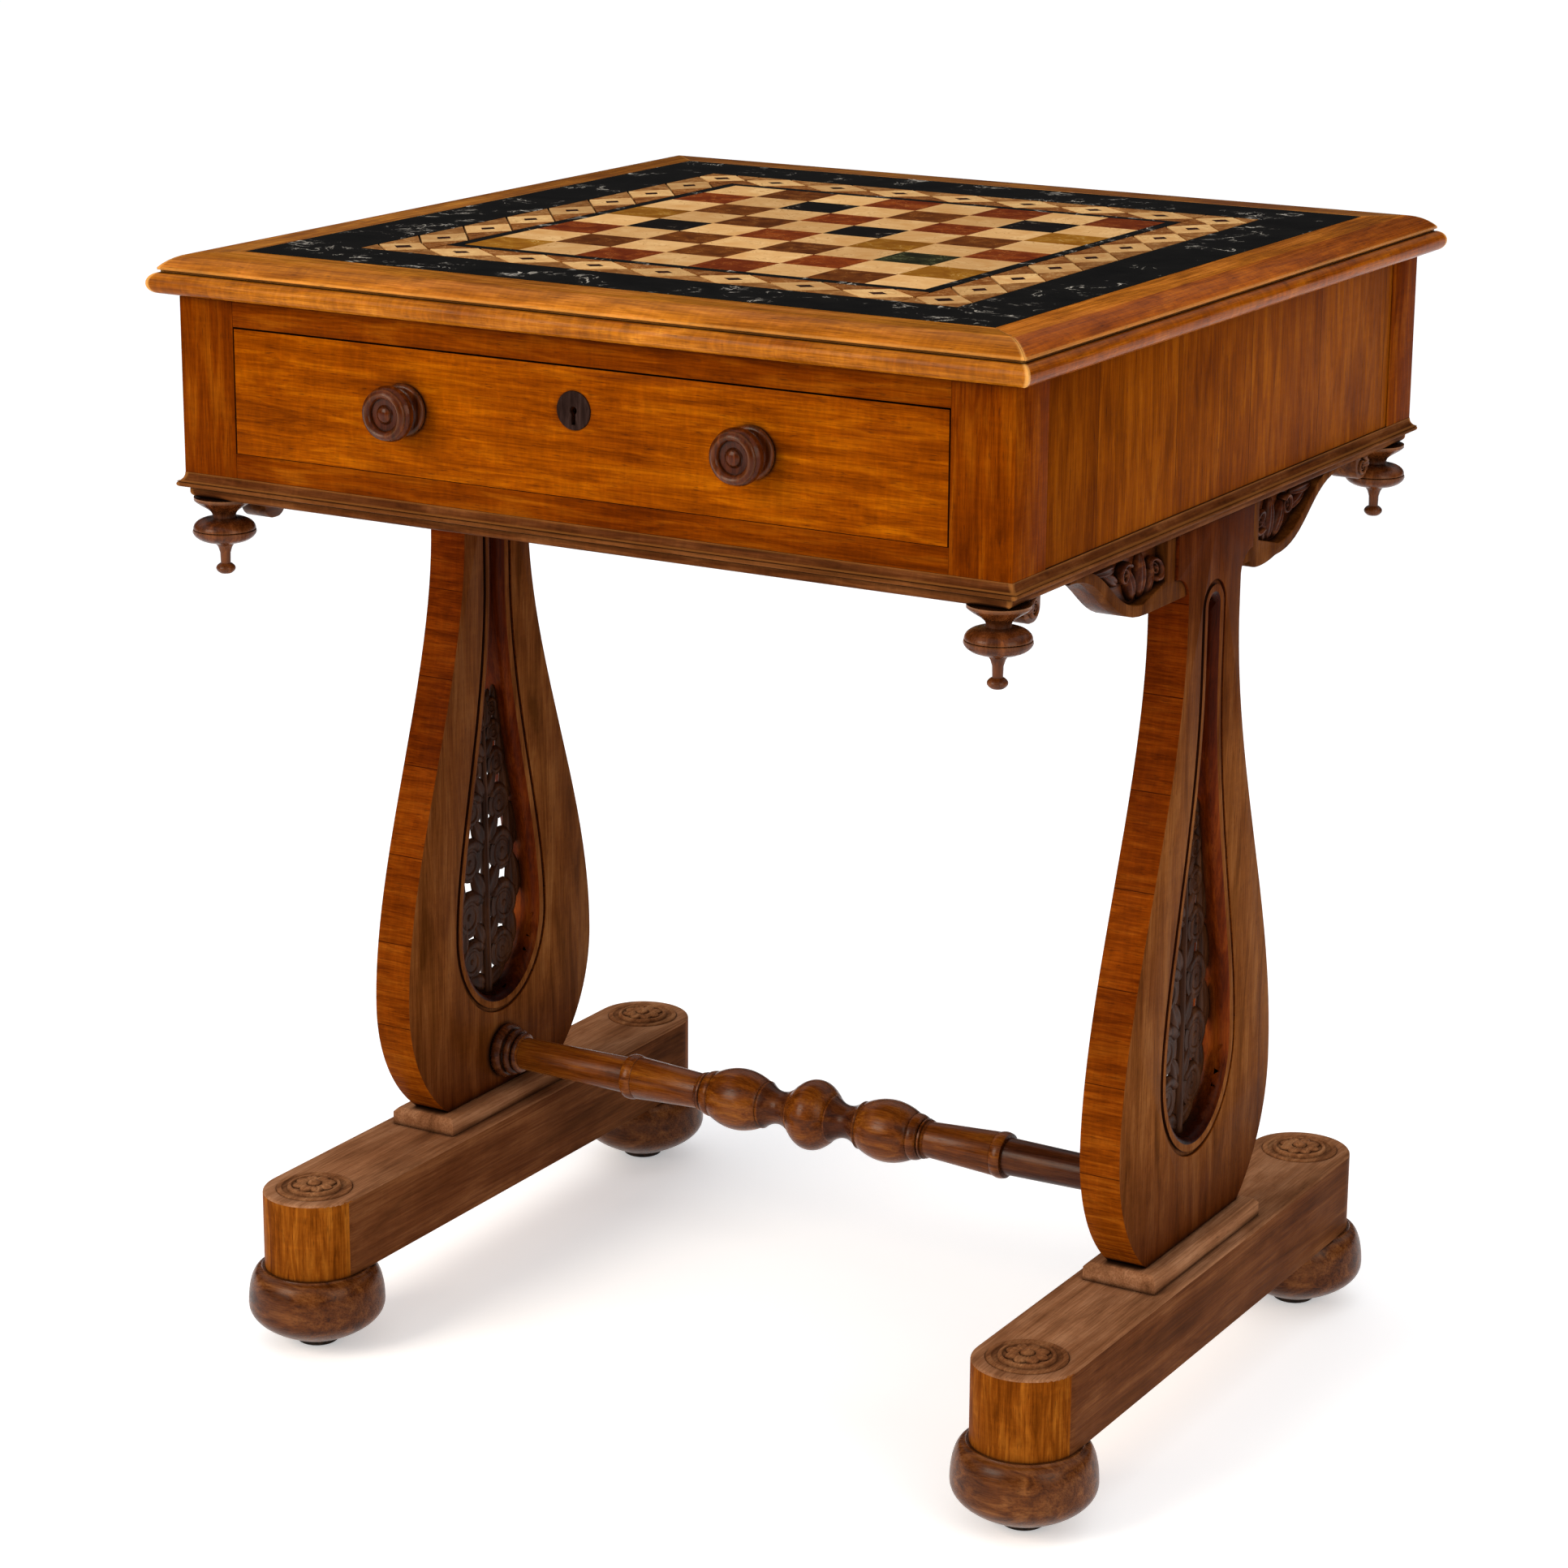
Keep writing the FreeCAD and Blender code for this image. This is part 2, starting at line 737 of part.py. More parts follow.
def teardrop(grow):
    """The leg's opening, grown all round; no growth is the clear opening inside the lining."""
    belly = opening_belly_width / 2 + grow
    neck = opening_neck_width / 2 + grow
    bottom = z_leg + opening_rise - grow
    belly_z = z_leg + opening_belly_rise
    neck_z = z_leg + opening_neck_rise
    neck_top = z_leg + opening_neck_top
    taper = neck_z - belly_z
    belly_handle = belly_z + taper * opening_belly_ratio
    neck_handle = neck_z - taper * opening_neck_ratio
    drop = Outline(0, bottom)
    drop.round_to((belly, bottom), (belly, belly_z))
    drop.curve((belly, belly_handle), (neck, neck_handle), (neck, neck_z))
    drop.line(neck, neck_top)
    drop.round_to((neck, neck_top + neck), (0, neck_top + neck))
    return drop.mirrored()


def leg_top_dowels(fit=0.0):
    """Dowels from the legs' tops through the moulding into the side panels; with a fit, their holes."""
    y = leg_collar_half - leg_top_dowel_edge
    top = z_carcase + dowel_panel_bite + (dowel_end_gap if fit else 0)
    return four_corners(peg(top_dowel_x, y, z_base - dowel_bite, top, dowel_radius + fit))


def leg_foot_dowels(fit=0.0):
    """Dowels from the legs' feet through the plinths into the bars; with a fit, their holes."""
    y = leg_foot_half - leg_foot_dowel_edge
    top = z_leg + dowel_bite + (dowel_end_gap if fit else 0)
    return four_corners(peg(leg_x, y, z_plinth - dowel_bite, top, dowel_radius + fit))


def leg():
    """Right leg: a lyre-shaped board with a teardrop opening."""
    belly_z = z_leg + leg_belly_rise
    neck_z = belly_z + leg_taper
    cove_z = neck_z + leg_neck_length
    collar_z = cove_z + leg_cove
    belly = (leg_belly_half, belly_z)
    foot = (leg_foot_half, z_leg)
    side = Outline(0, z_leg)
    side.line(*foot)
    side.arc(arc_middle(belly, foot, (0, -1)), belly)
    third = leg_taper / 3
    side.curve((leg_belly_half, belly_z + third), (leg_neck_half, neck_z - third), (leg_neck_half, neck_z))
    side.line(leg_neck_half, cove_z)
    side.round_to((leg_neck_half, collar_z), (leg_collar_half, collar_z))
    side.line(leg_collar_half, z_base)
    side.line(0, z_base)
    board = plate(side.mirrored(), leg_inner, leg_outer)
    socket = stretcher_tenon(joint_fit)
    opening = plate(teardrop(lining_width + joint_fit), leg_inner, leg_outer)
    return board.cut([opening, socket] + leg_top_dowels(joint_fit) + leg_foot_dowels(joint_fit))


def leg_lining():
    """Bead round the right leg's opening, with a sunk quirk against the leg on both faces."""
    clear = plate(teardrop(0), leg_inner, leg_outer)
    bead = plate(teardrop(lining_width - lining_groove), leg_inner, leg_outer)
    web = plate(teardrop(lining_width), leg_inner + lining_groove_depth, leg_outer - lining_groove_depth)
    return join(bead, web).cut(clear)


def clear_half_width(rise):
    """Half the width of the clear opening at a height above the leg's foot."""
    belly, neck = opening_belly_width / 2, opening_neck_width / 2
    below = (opening_belly_rise - rise) / opening_belly_height
    above = (rise - opening_belly_rise) / (opening_neck_rise - opening_belly_rise)
    if below > 0:
        return belly * math.sqrt(max(0.0, 1 - below ** 2))
    return belly + (neck - belly) * above ** 2 * (3 - 2 * above)


def carved_panel():
    """Pierced carving in the right leg's opening: scrolls in pairs on a stem, up to its tip."""
    x0 = leg_x - carving_thickness / 2
    x1 = leg_x + carving_thickness / 2
    bottom = z_leg + opening_rise
    tip = bottom + carving_height
    half_stem = carving_stem_width / 2
    work = [box(x0, x1, -half_stem, half_stem, bottom, tip)]
    holes = []
    rise = opening_rise + opening_belly_height / 2
    while True:
        half = clear_half_width(rise)
        radius = half / 2
        if radius < carving_scroll_width or z_leg + rise + radius > tip:
            break
        for side in (-1, 1):
            place = Vector(x0, side * half / 2, z_leg + rise)
            work.append(Part.makeCylinder(radius + carving_tuck, carving_thickness, place, Vector(1, 0, 0)))
            bore = radius - carving_scroll_width
            if bore > carving_least_hole:
                holes.append(Part.makeCylinder(bore, carving_thickness, place, Vector(1, 0, 0)))
        rise += 2 * radius - carving_overlap
    carving = join(*work).cut(holes)
    return carving.common(plate(teardrop(-joint_fit), x0, x1))


def plinth():
    """Bevelled block between the right leg's foot and its bar."""
    half = leg_foot_half + plinth_margin
    block = box(leg_x - plinth_width / 2, leg_x + plinth_width / 2, -half, half, z_plinth, z_leg)
    top_edges = [edge for edge in block.Edges if abs(edge.BoundBox.ZMin - z_leg) < same_place]
    return block.makeChamfer(plinth_bevel, top_edges).cut(leg_foot_dowels(joint_fit))


def bar():
    """Right sledge bar with round ends, sunk for its roundels and bored for feet and dowels."""
    half = bar_width / 2
    shape = Outline(-half, -bar_end_y)
    shape.arc((0, -bar_end_y - half), (half, -bar_end_y))
    shape.line(half, bar_end_y)
    shape.arc((0, bar_end_y + half), (-half, bar_end_y))
    block = shape.face(lambda x, y: Vector(leg_x + x, y, z_bar)).extrude(Vector(0, 0, bar_height))
    top_edges = [edge for edge in block.Edges if abs(edge.BoundBox.ZMin - z_plinth) < same_place]
    block = block.makeFillet(bar_round, top_edges)
    holes = leg_foot_dowels(joint_fit)
    spigot_top = z_bar + foot_spigot_length + dowel_end_gap
    for end in (-bar_end_y, bar_end_y):
        holes.append(peg(leg_x, end, z_plinth - roundel_recess, z_plinth, roundel_radius + joint_fit))
        holes.append(peg(leg_x, end, z_bar, spigot_top, foot_spigot_radius + joint_fit))
    return block.cut(holes)


def roundel():
    """Turned patera let into the top of a bar's end: a rim, a sunk ring and a domed rosette."""
    ring = (roundel_radius + rosette_radius) / 2
    disc = Outline(0, 0)
    disc.line(0, roundel_radius)
    disc.line(roundel_recess + roundel_rim, roundel_radius)
    disc.line(roundel_recess + roundel_rim, ring)
    disc.line(roundel_recess, ring)
    disc.line(roundel_recess, rosette_radius)
    disc.line(roundel_recess + rosette_rise, rosette_radius)
    disc.round_to((roundel_recess + rosette_rise + rosette_dome, rosette_radius),
                  (roundel_recess + rosette_rise + rosette_dome, 0))
    return turned(disc).translated(Vector(leg_x, bar_end_y, z_plinth - roundel_recess))


def bun_foot():
    """Turned bun foot with the spigot that holds it in the bar."""
    waist = foot_height / 2
    bun = Outline(0, 0)
    bun.line(0, foot_toe_radius)
    spread = foot_toe_radius + (foot_radius - foot_toe_radius) * foot_toe_spread_ratio
    bun.curve((waist * foot_toe_rise_ratio, spread), (waist * foot_belly_ratio, foot_radius),
              (waist, foot_radius))
    bun.round_to((foot_height, foot_radius), (foot_height, foot_top_radius))
    bun.line(foot_height, foot_spigot_radius)
    bun.line(foot_height + foot_spigot_length, foot_spigot_radius)
    bun.line(foot_height + foot_spigot_length, 0)
    foot = turned(bun).translated(Vector(leg_x, bar_end_y, glide_height))
    nail_top = glide_height + glide_nail_length + dowel_end_gap
    return foot.cut(peg(leg_x, bar_end_y, glide_height, nail_top, glide_nail_radius + joint_fit))


def foot_glide():
    """Iron glide nailed under a foot, flat where it meets the floor and rounded at its edge."""
    dome = Outline(0, 0)
    dome.line(0, glide_flat_radius)
    dome.round_to((0, glide_radius), (glide_height / 2, glide_radius))
    dome.line(glide_height, glide_radius)
    dome.line(glide_height, glide_nail_radius)
    dome.line(glide_height + glide_nail_length, glide_nail_radius)
    dome.line(glide_height + glide_nail_length, 0)
    return turned(dome).translated(Vector(leg_x, bar_end_y, 0))


def stretcher_tenon(fit=0.0):
    """Round tongue of the stretcher in the right leg; with a fit, its socket."""
    start = Vector(leg_inner, 0, z_leg + stretcher_rise)
    length = stretcher_tenon_length + fit
    return Part.makeCylinder(stretcher_tenon_radius + fit, length, start, Vector(1, 0, 0))


def stretcher():
    """Turned rail between the legs: a ball, a pair of bulbs, ringed tapers and plain ends."""
    ball = stretcher_ball_half
    bulb = ball + stretcher_neck_length
    cove = bulb + stretcher_bulb_length
    taper = cove + stretcher_cove_length
    ring = taper + stretcher_taper_length
    rod = ring + stretcher_ring_length
    boss = leg_inner - stretcher_boss_length
    boss_middle = leg_inner - stretcher_boss_length / 2
    edge = stretcher_edge_radius
    rail = Outline(0, stretcher_ball_radius)
    rail.arc(arc_middle(rail.at, (ball, edge), (1, 0)), (ball, edge))
    rail.swell(bulb, edge, stretcher_neck_radius)
    rail.swell(cove, edge, stretcher_bulb_radius)
    rail.curve((cove + stretcher_cove_length / 3, stretcher_waist_radius),
               (cove + stretcher_cove_length / 2, stretcher_waist_radius), (taper, stretcher_waist_radius))
    rail.line(ring, stretcher_taper_radius)
    rail.swell(rod, stretcher_taper_radius, stretcher_ring_radius)
    rail.line(rod, stretcher_rod_radius)
    rail.line(boss, stretcher_rod_end_radius)
    rail.swell(boss_middle, (stretcher_rod_end_radius + stretcher_boss_radius) / 2, stretcher_boss_radius)
    rail.swell(leg_inner, stretcher_boss_radius, stretcher_boss_radius)
    rail.line(leg_inner, stretcher_tenon_radius)
    rail.line(leg_inner + stretcher_tenon_length, stretcher_tenon_radius)
    rail.line(leg_inner + stretcher_tenon_length, 0)
    rail.line(0, 0)
    lying = turned(rail.mirrored()).rotated(Vector(0, 0, 0), Vector(0, 1, 0), 90)
    return lying.translated(Vector(0, 0, z_leg + stretcher_rise))


def tail(x0, x1, root, tip, z, fit=0.0):
    """One dovetail, from its root to its wider tip along y; with a fit, the socket for it."""
    narrow = tail_width / 2 - tail_flare + fit
    wide = tail_width / 2 + fit
    reach = tip + math.copysign(fit, tip - root)
    shape = Outline(root, z - narrow).line(reach, z - wide).line(reach, z + wide).line(root, z + narrow)
    return plate(shape, x0 - fit, x1 + fit)


def front_tails(fit=0.0):
    """Lapped tails of the right drawer side in the drawer front."""
    height = drawer_top_z - drawer_bottom_z
    tip = drawer_y0 + drawer_front_lap
    pitch = height / front_tail_count
    levels = [drawer_bottom_z + pitch * (count + 0.5) for count in range(front_tail_count)]
    return [tail(drawer_inside, drawer_half, drawer_y1, tip, z, fit) for z in levels]


def back_tails(fit=0.0):
    """Through tails of the right drawer side in the drawer back."""
    middle = (bottom_z1 + drawer_top_z - drawer_back_drop) / 2
    return [tail(drawer_inside, drawer_half, drawer_y2, drawer_y3, middle, fit)]


def drawer_side():
    """Right drawer side, dovetailed at both ends and grooved for the bottom."""
    board = box(drawer_inside, drawer_half, drawer_y1, drawer_y2, drawer_bottom_z, drawer_top_z)
    groove_end = drawer_inside + groove_depth
    groove = box(drawer_inside, groove_end, drawer_y1, drawer_y2, bottom_z0, bottom_z1, joint_fit)
    return join(board.cut(groove), *front_tails(), *back_tails())


def drawer_bottom():
    """Thin board that slides into the grooves from behind, under the drawer back."""
    side_edge = drawer_inside + groove_depth - joint_fit
    tongue_edge = drawer_inside - joint_fit
    tongue_y = drawer_y1 - groove_depth + joint_fit
    board = box(-side_edge, side_edge, drawer_y1 + joint_fit, drawer_y2, bottom_z0, bottom_z1)
    rear = box(-tongue_edge, tongue_edge, drawer_y2, drawer_y3, bottom_z0, bottom_z1)
    tongue = box(-tongue_edge, tongue_edge, tongue_y, drawer_y1 + joint_fit, bottom_z0, bottom_z1)
    return join(board, rear, tongue)


def drawer_back():
    board = box(-drawer_half, drawer_half, drawer_y2, drawer_y3, bottom_z1, drawer_top_z - drawer_back_drop)
    return board.cut(back_tails(joint_fit) + [mirror_x(socket) for socket in back_tails(joint_fit)])


def keyhole(y0, y1):
    """Keyhole through a thickness: a round for the key's pin over a slot for its bit."""
    round_part = Part.makeCylinder(keyhole_radius, y1 - y0, Vector(0, y0, keyhole_z), Vector(0, 1, 0))
    half = keyhole_slot_width / 2
    return join(round_part, box(-half, half, y0, y1, keyhole_z - keyhole_slot_length, keyhole_z))


def lock_screw(x, z, fit=0.0):
    """Countersunk screw through the lock case into the drawer front; with a fit, the hole for it."""
    length = lock_thickness + lock_screw_bite + fit
    shank = Part.makeCylinder(lock_screw_radius + fit, length, Vector(x, drawer_y1, z), Vector(0, -1, 0))
    head_height = lock_screw_head_radius - lock_screw_radius
    head = Part.makeCone(lock_screw_head_radius + fit, lock_screw_radius + fit, head_height,
                         Vector(x, drawer_y1, z), Vector(0, -1, 0))
    return join(shank, head)


def lock_screws(fit=0.0):
    x = lock_width / 2 - lock_screw_edge
    levels = (lock_z0 + lock_screw_edge, drawer_top_z - lock_screw_edge)
    return [lock_screw(side * x, z, fit) for side in (-1, 1) for z in levels]


def bolt_box(grow=0.0):
    """The lock's bolt, drawn back; grown by its gap, the channel it slides in."""
    half = bolt_width / 2
    y0 = lock_y0 + (lock_thickness - bolt_thickness) / 2
    top = drawer_top_z - bolt_gap
    return box(-half, half, y0, y0 + bolt_thickness, top - bolt_height, top, grow)


def lock_case():
    """Box lock let into the back of the drawer front, with a channel for its bolt."""
    half = lock_width / 2
    case = box(-half, half, lock_y0, drawer_y1, lock_z0, drawer_top_z)
    key_way = keyhole(lock_y0, lock_y0 + lock_thickness / 2)
    return case.cut([bolt_box(bolt_gap), key_way] + lock_screws(joint_fit))


def escutcheon():
    """Round keyhole plate let into the drawer front."""
    y0 = drawer_y0 + escutcheon_inset - escutcheon_thickness
    centre = Vector(0, y0, keyhole_z)
    disc = Part.makeCylinder(escutcheon_radius, escutcheon_thickness, centre, Vector(0, 1, 0))
    return disc.cut(keyhole(y0, y0 + escutcheon_thickness))


def knob_hole(x):
    start = Vector(x, drawer_y0, knob_z)
    length = knob_spigot_length + dowel_end_gap
    return Part.makeCylinder(knob_spigot_radius + joint_fit, length, start, Vector(0, 1, 0))


def knob(x):
    """Turned mushroom knob with a dished face and a button in the middle."""
    waist = knob_collar_length
    head = waist + knob_waist_length
    rim = head + knob_head_length
    face = rim + knob_rim_length
    dish = face - knob_dish_depth
    turning = Outline(-knob_spigot_length, 0)
    turning.line(-knob_spigot_length, knob_spigot_radius)
    turning.line(0, knob_spigot_radius)
    turning.line(0, knob_collar_radius)
    turning.line(waist / 2, knob_collar_radius)
    turning.line(waist, knob_waist_radius)
    turning.line(head, knob_waist_radius)
    turning.line(head, knob_head_edge_radius)
    turning.swell(rim, knob_head_edge_radius, knob_head_radius)
    turning.line(face, knob_head_edge_radius)
    turning.line(face, knob_dish_radius)
    turning.line(dish, knob_dish_radius)
    turning.line(dish, knob_button_radius)
    turning.round_to((dish + knob_button_rise, knob_button_radius), (dish + knob_button_rise, 0))
    lying = turned(turning).rotated(Vector(0, 0, 0), Vector(1, 0, 0), 90)
    return lying.translated(Vector(x, drawer_y0, knob_z))


def drawer_front():
    """Drawer front with sockets for the sides, a groove for the bottom and beds for lock and plate."""
    board = box(-drawer_half, drawer_half, drawer_y0, drawer_y1, drawer_bottom_z, drawer_top_z)
    sockets = front_tails(joint_fit) + [mirror_x(socket) for socket in front_tails(joint_fit)]
    groove_y0 = drawer_y1 - groove_depth
    groove = box(-drawer_inside, drawer_inside, groove_y0, drawer_y1, bottom_z0, bottom_z1, joint_fit)
    half_lock = lock_width / 2
    lock_bed = box(-half_lock, half_lock, lock_y0, drawer_y1, lock_z0, drawer_top_z, joint_fit)
    bed_radius = escutcheon_radius + joint_fit
    bed_start = Vector(0, drawer_y0, keyhole_z)
    plate_bed = Part.makeCylinder(bed_radius, escutcheon_inset, bed_start, Vector(0, 1, 0))
    cuts = sockets + [groove, lock_bed, plate_bed, keyhole(drawer_y0, lock_y0)]
    cuts += lock_screws(joint_fit) + [knob_hole(-knob_spacing / 2), knob_hole(knob_spacing / 2)]
    return board.cut(cuts)


def top_parts():
    rails = rim_rails()
    screws = [top_screw(row * screw_spacing, joint_fit) for row in (-1, 0, 1)]
    rails["right"] = rails["right"].cut(screws)
    rails["left"] = rails["left"].cut([mirror_x(screw) for screw in screws])
    nodes = {"rim_" + side: rail for side, rail in rails.items()}
    nodes["rim_beads"] = rim_beads()
    nodes["bed_board"] = bed_board()
    nodes["marble_slab"] = marble_slab()
    nodes["board_stringing"] = stringing()
    return nodes | board_squares() | specimen_band()


def carcase_parts():
    right_panel = side_panel().cut(leg_top_dowels(joint_fit))
    right_screws = [top_screw(row * screw_spacing) for row in (-1, 0, 1)]
    return {
        "post_front_right": front_right_post(),
        "post_front_left": mirror_x(front_right_post()),
        "post_back_right": back_right_post(),
        "post_back_left": mirror_x(back_right_post()),
        "side_panel_right": right_panel,
        "side_panel_left": mirror_x(right_panel),
        "back_panel": turn_z(side_panel(), 90),
        "front_top_rail": front_rail(z_top_rail, z_rim).cut(bolt_mortise()),
        "front_bottom_rail": front_rail(z_carcase, z_opening),
        "drawer_runners": both_sides(drawer_runner()),
        "drawer_kickers": both_sides(drawer_kicker()),
        "drawer_stops": drawer_stops(),
        "glue_blocks": glue_blocks(),
        "top_screws": right_screws + [mirror_x(screw) for screw in right_screws],
        "pendants": four_corners(pendant()),
        "corner_scrolls": four_corners(corner_scroll()),
        "base_mouldings": base_mouldings(),
    }


def drawer_parts():
    return {
        "drawer_front": drawer_front(),
        "drawer_side_right": drawer_side(),
        "drawer_side_left": mirror_x(drawer_side()),
        "drawer_back": drawer_back(),
        "drawer_bottom": drawer_bottom(),
        "knob_left": knob(-knob_spacing / 2),
        "knob_right": knob(knob_spacing / 2),
        "escutcheon": escutcheon(),
        "lock_case": lock_case(),
        "lock_screws": lock_screws(),
        "lock_bolt": bolt_box(),
    }


def base_parts():
    nodes = {"leg_right": leg(), "bar_right": bar()}
    nodes |= {"leg_left": mirror_x(leg()), "bar_left": mirror_x(bar())}
    nodes["leg_linings"] = both_sides(leg_lining())
    nodes["carved_panels"] = both_sides(carved_panel())
    nodes["plinths"] = both_sides(plinth())
    nodes["leg_brackets"] = four_corners(bracket())
    nodes["leg_dowels"] = leg_top_dowels() + leg_foot_dowels()
    nodes["roundels"] = four_corners(roundel())
    nodes["bun_feet"] = four_corners(bun_foot())
    nodes["foot_glides"] = four_corners(foot_glide())
    nodes["stretcher"] = stretcher()
    return nodes


os.makedirs("parts", exist_ok=True)
for name, shape in (top_parts() | carcase_parts() | drawer_parts() | base_parts()).items():
    solid = Part.makeCompound(shape) if isinstance(shape, list) else shape
    solid.exportStep("parts/" + name + ".step")
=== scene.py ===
import math

import bpy
from mathutils import Matrix, Vector


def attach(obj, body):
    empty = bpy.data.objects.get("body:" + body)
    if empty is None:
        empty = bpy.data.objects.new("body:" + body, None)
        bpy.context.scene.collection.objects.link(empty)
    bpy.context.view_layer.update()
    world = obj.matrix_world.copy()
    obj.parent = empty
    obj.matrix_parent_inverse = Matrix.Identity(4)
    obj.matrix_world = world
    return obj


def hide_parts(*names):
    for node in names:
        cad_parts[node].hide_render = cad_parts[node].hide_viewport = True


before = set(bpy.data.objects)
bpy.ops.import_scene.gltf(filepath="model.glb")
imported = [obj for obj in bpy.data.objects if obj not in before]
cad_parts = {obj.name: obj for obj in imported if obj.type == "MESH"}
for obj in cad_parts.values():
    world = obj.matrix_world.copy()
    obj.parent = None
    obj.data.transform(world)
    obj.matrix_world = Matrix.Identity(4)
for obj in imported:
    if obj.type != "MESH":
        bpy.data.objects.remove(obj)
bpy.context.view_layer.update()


# Bun feet
# Four squat walnut buns, turned on the lathe and held by a spigot in each end of the bars.
# Old wax makes them satin, with dirt and painted shade in the seam under the bar.
mm = 0.001


def colour(code):
    """A hex colour as linear red, green, blue and alpha."""
    parts = [int(code[at:at + 2], 16) / 255 for at in (0, 2, 4)]
    return [part / 12.92 if part <= 0.04045 else ((part + 0.055) / 1.055) ** 2.4 for part in parts] + [1.0]


def add_node(material, kind, links=None, values=None, stops=None, **settings):
    """One shader node with its settings, socket values, ramp stops and what feeds it."""
    made = material.node_tree.nodes.new("ShaderNode" + kind)
    for name, value in settings.items():
        setattr(made, name, value)
    for socket, value in (values or {}).items():
        made.inputs[socket].default_value = value
    for socket, source in (links or {}).items():
        material.node_tree.links.new(source, made.inputs[socket])
    if stops:
        marks = made.color_ramp.elements
        for place, tone in stops[1:-1]:
            marks.new(place)
        marks[0].position = stops[0][0]
        marks[-1].position = stops[-1][0]
        for mark, (place, tone) in zip(marks, stops):
            mark.color = colour(tone)
    return made


# Turns that lay the grain, drawn along x, along another axis
grain_turns = {"x": (0, 0, 0), "y": (0, 0, -math.pi / 2), "z": (0, math.pi / 2, 0)}


def wood(name, dark, mid, light, along, figure=14, fleck=0.3, pores=0.55, gloss=0.36, wax=0.004, leaf=None,
         dirt_and_shade_depth=5, shade_by_height=None, edge_highlight_and_wear=None):
    """Waxed hardwood: broad figure, cross flecks, fine fibres, dark pores, and dirt with painted shade in the
    hollows.

    along is the axis of the grain; figure is the width of the broad bands in millimetres;
    fleck and pores are how strongly those show; gloss is the roughness of the polish;
    wax is how much the polish mirrors; leaf is the pitch, axis and shift of veneer leaves;
    dirt_and_shade_depth is how far the hollows darkened by dirt and painted shade reach, in millimetres;
    shade_by_height lists heights in millimetres with the painted shade multiplied in there;
    edge_highlight_and_wear is the tone of arrises lightened by a painted highlight along with their wear.
    """
    made = bpy.data.materials.new(name)
    made.use_nodes = True
    shader = made.node_tree.nodes["Principled BSDF"]
    spot = add_node(made, "TexCoord").outputs["Object"]
    grain = add_node(made, "Mapping", {"Vector": spot}, {"Rotation": grain_turns[along]}).outputs[0]
    if leaf:
        pitch, axis, shift = leaf
        row = add_node(made, "Mapping", {"Vector": spot},
                       {"Rotation": grain_turns[axis], "Location": (-shift * mm, 5.0, 0.0)})
        leaves = add_node(made, "TexBrick", {"Vector": row.outputs[0]},
                          {"Color1": colour("FFFFFF"), "Color2": colour("C8BAAE"), "Mortar": colour("4A3020"),
                           "Scale": 1.0, "Mortar Size": 0.35 * mm, "Mortar Smooth": 0.3, "Bias": 0.0,
                           "Brick Width": pitch * mm, "Row Height": 20.0}, offset=0.0, squash=1.0)
        grain = add_node(made, "VectorMath", {0: grain, 1: leaves.outputs["Color"]},
                         operation="ADD").outputs[0]
    # Bands of figure run eight times as long as they are wide
    broad = add_node(made, "Mapping", {"Vector": grain},
                     {"Scale": (1 / (8 * figure * mm), 1 / (figure * mm), 1 / (figure * mm))})
    bands = add_node(made, "TexNoise", {"Vector": broad.outputs[0]},
                     {"Scale": 1.0, "Detail": 5.0, "Roughness": 0.6, "Distortion": 0.8})
    tone = add_node(made, "ValToRGB", {"Fac": bands.outputs["Fac"]},
                    stops=[(0.3, dark), (0.5, mid), (0.7, light)]).outputs[0]
    # Ray flecks 4 mm along the grain and 16 mm across it
    rays = add_node(made, "Mapping", {"Vector": grain},
                    {"Scale": (1 / (4 * mm), 1 / (16 * mm), 1 / (16 * mm))})
    flecks = add_node(made, "TexNoise", {"Vector": rays.outputs[0]},
                      {"Scale": 1.0, "Detail": 3.0, "Roughness": 0.65, "Distortion": 0.4})
    shade = add_node(made, "ValToRGB", {"Fac": flecks.outputs["Fac"]},
                     stops=[(0.32, "505050"), (0.5, "808080"), (0.68, "B0B0B0")])
    tone = add_node(made, "Mix", {6: tone, 7: shade.outputs[0]}, {0: fleck},
                    data_type="RGBA", blend_type="OVERLAY").outputs[2]
    # Fibres about 1 mm wide and 45 mm long
    threads = add_node(made, "Mapping", {"Vector": grain},
                       {"Scale": (1 / (45 * mm), 1 / (1.1 * mm), 1 / (1.1 * mm))})
    fibres = add_node(made, "TexNoise", {"Vector": threads.outputs[0]},
                      {"Scale": 1.0, "Detail": 3.0, "Roughness": 0.6})
    streak = add_node(made, "ValToRGB", {"Fac": fibres.outputs["Fac"]},
                      stops=[(0.36, "9A806C"), (0.6, "FFFFFF")])
    tone = add_node(made, "Mix", {6: tone, 7: streak.outputs[0]}, {0: 0.45},
                    data_type="RGBA", blend_type="MULTIPLY").outputs[2]
    # Pores half a millimetre wide and 8 mm long, drawn a little coarse so that they show
    slots = add_node(made, "Mapping", {"Vector": grain},
                     {"Scale": (1 / (8 * mm), 1 / (0.7 * mm), 1 / (0.7 * mm))})
    holes = add_node(made, "TexNoise", {"Vector": slots.outputs[0]},
                     {"Scale": 1.0, "Detail": 2.0, "Roughness": 0.5})
    pore = add_node(made, "MapRange", {"Value": holes.outputs["Fac"]},
                    {"From Min": 0.6, "From Max": 0.74, "To Max": pores}).outputs[0]
    tone = add_node(made, "Mix", {0: pore, 6: tone}, {7: colour("2A1408")}, data_type="RGBA").outputs[2]
    if leaf:
        tone = add_node(made, "Mix", {6: tone, 7: leaves.outputs["Color"]}, {0: 0.8},
                        data_type="RGBA", blend_type="MULTIPLY").outputs[2]
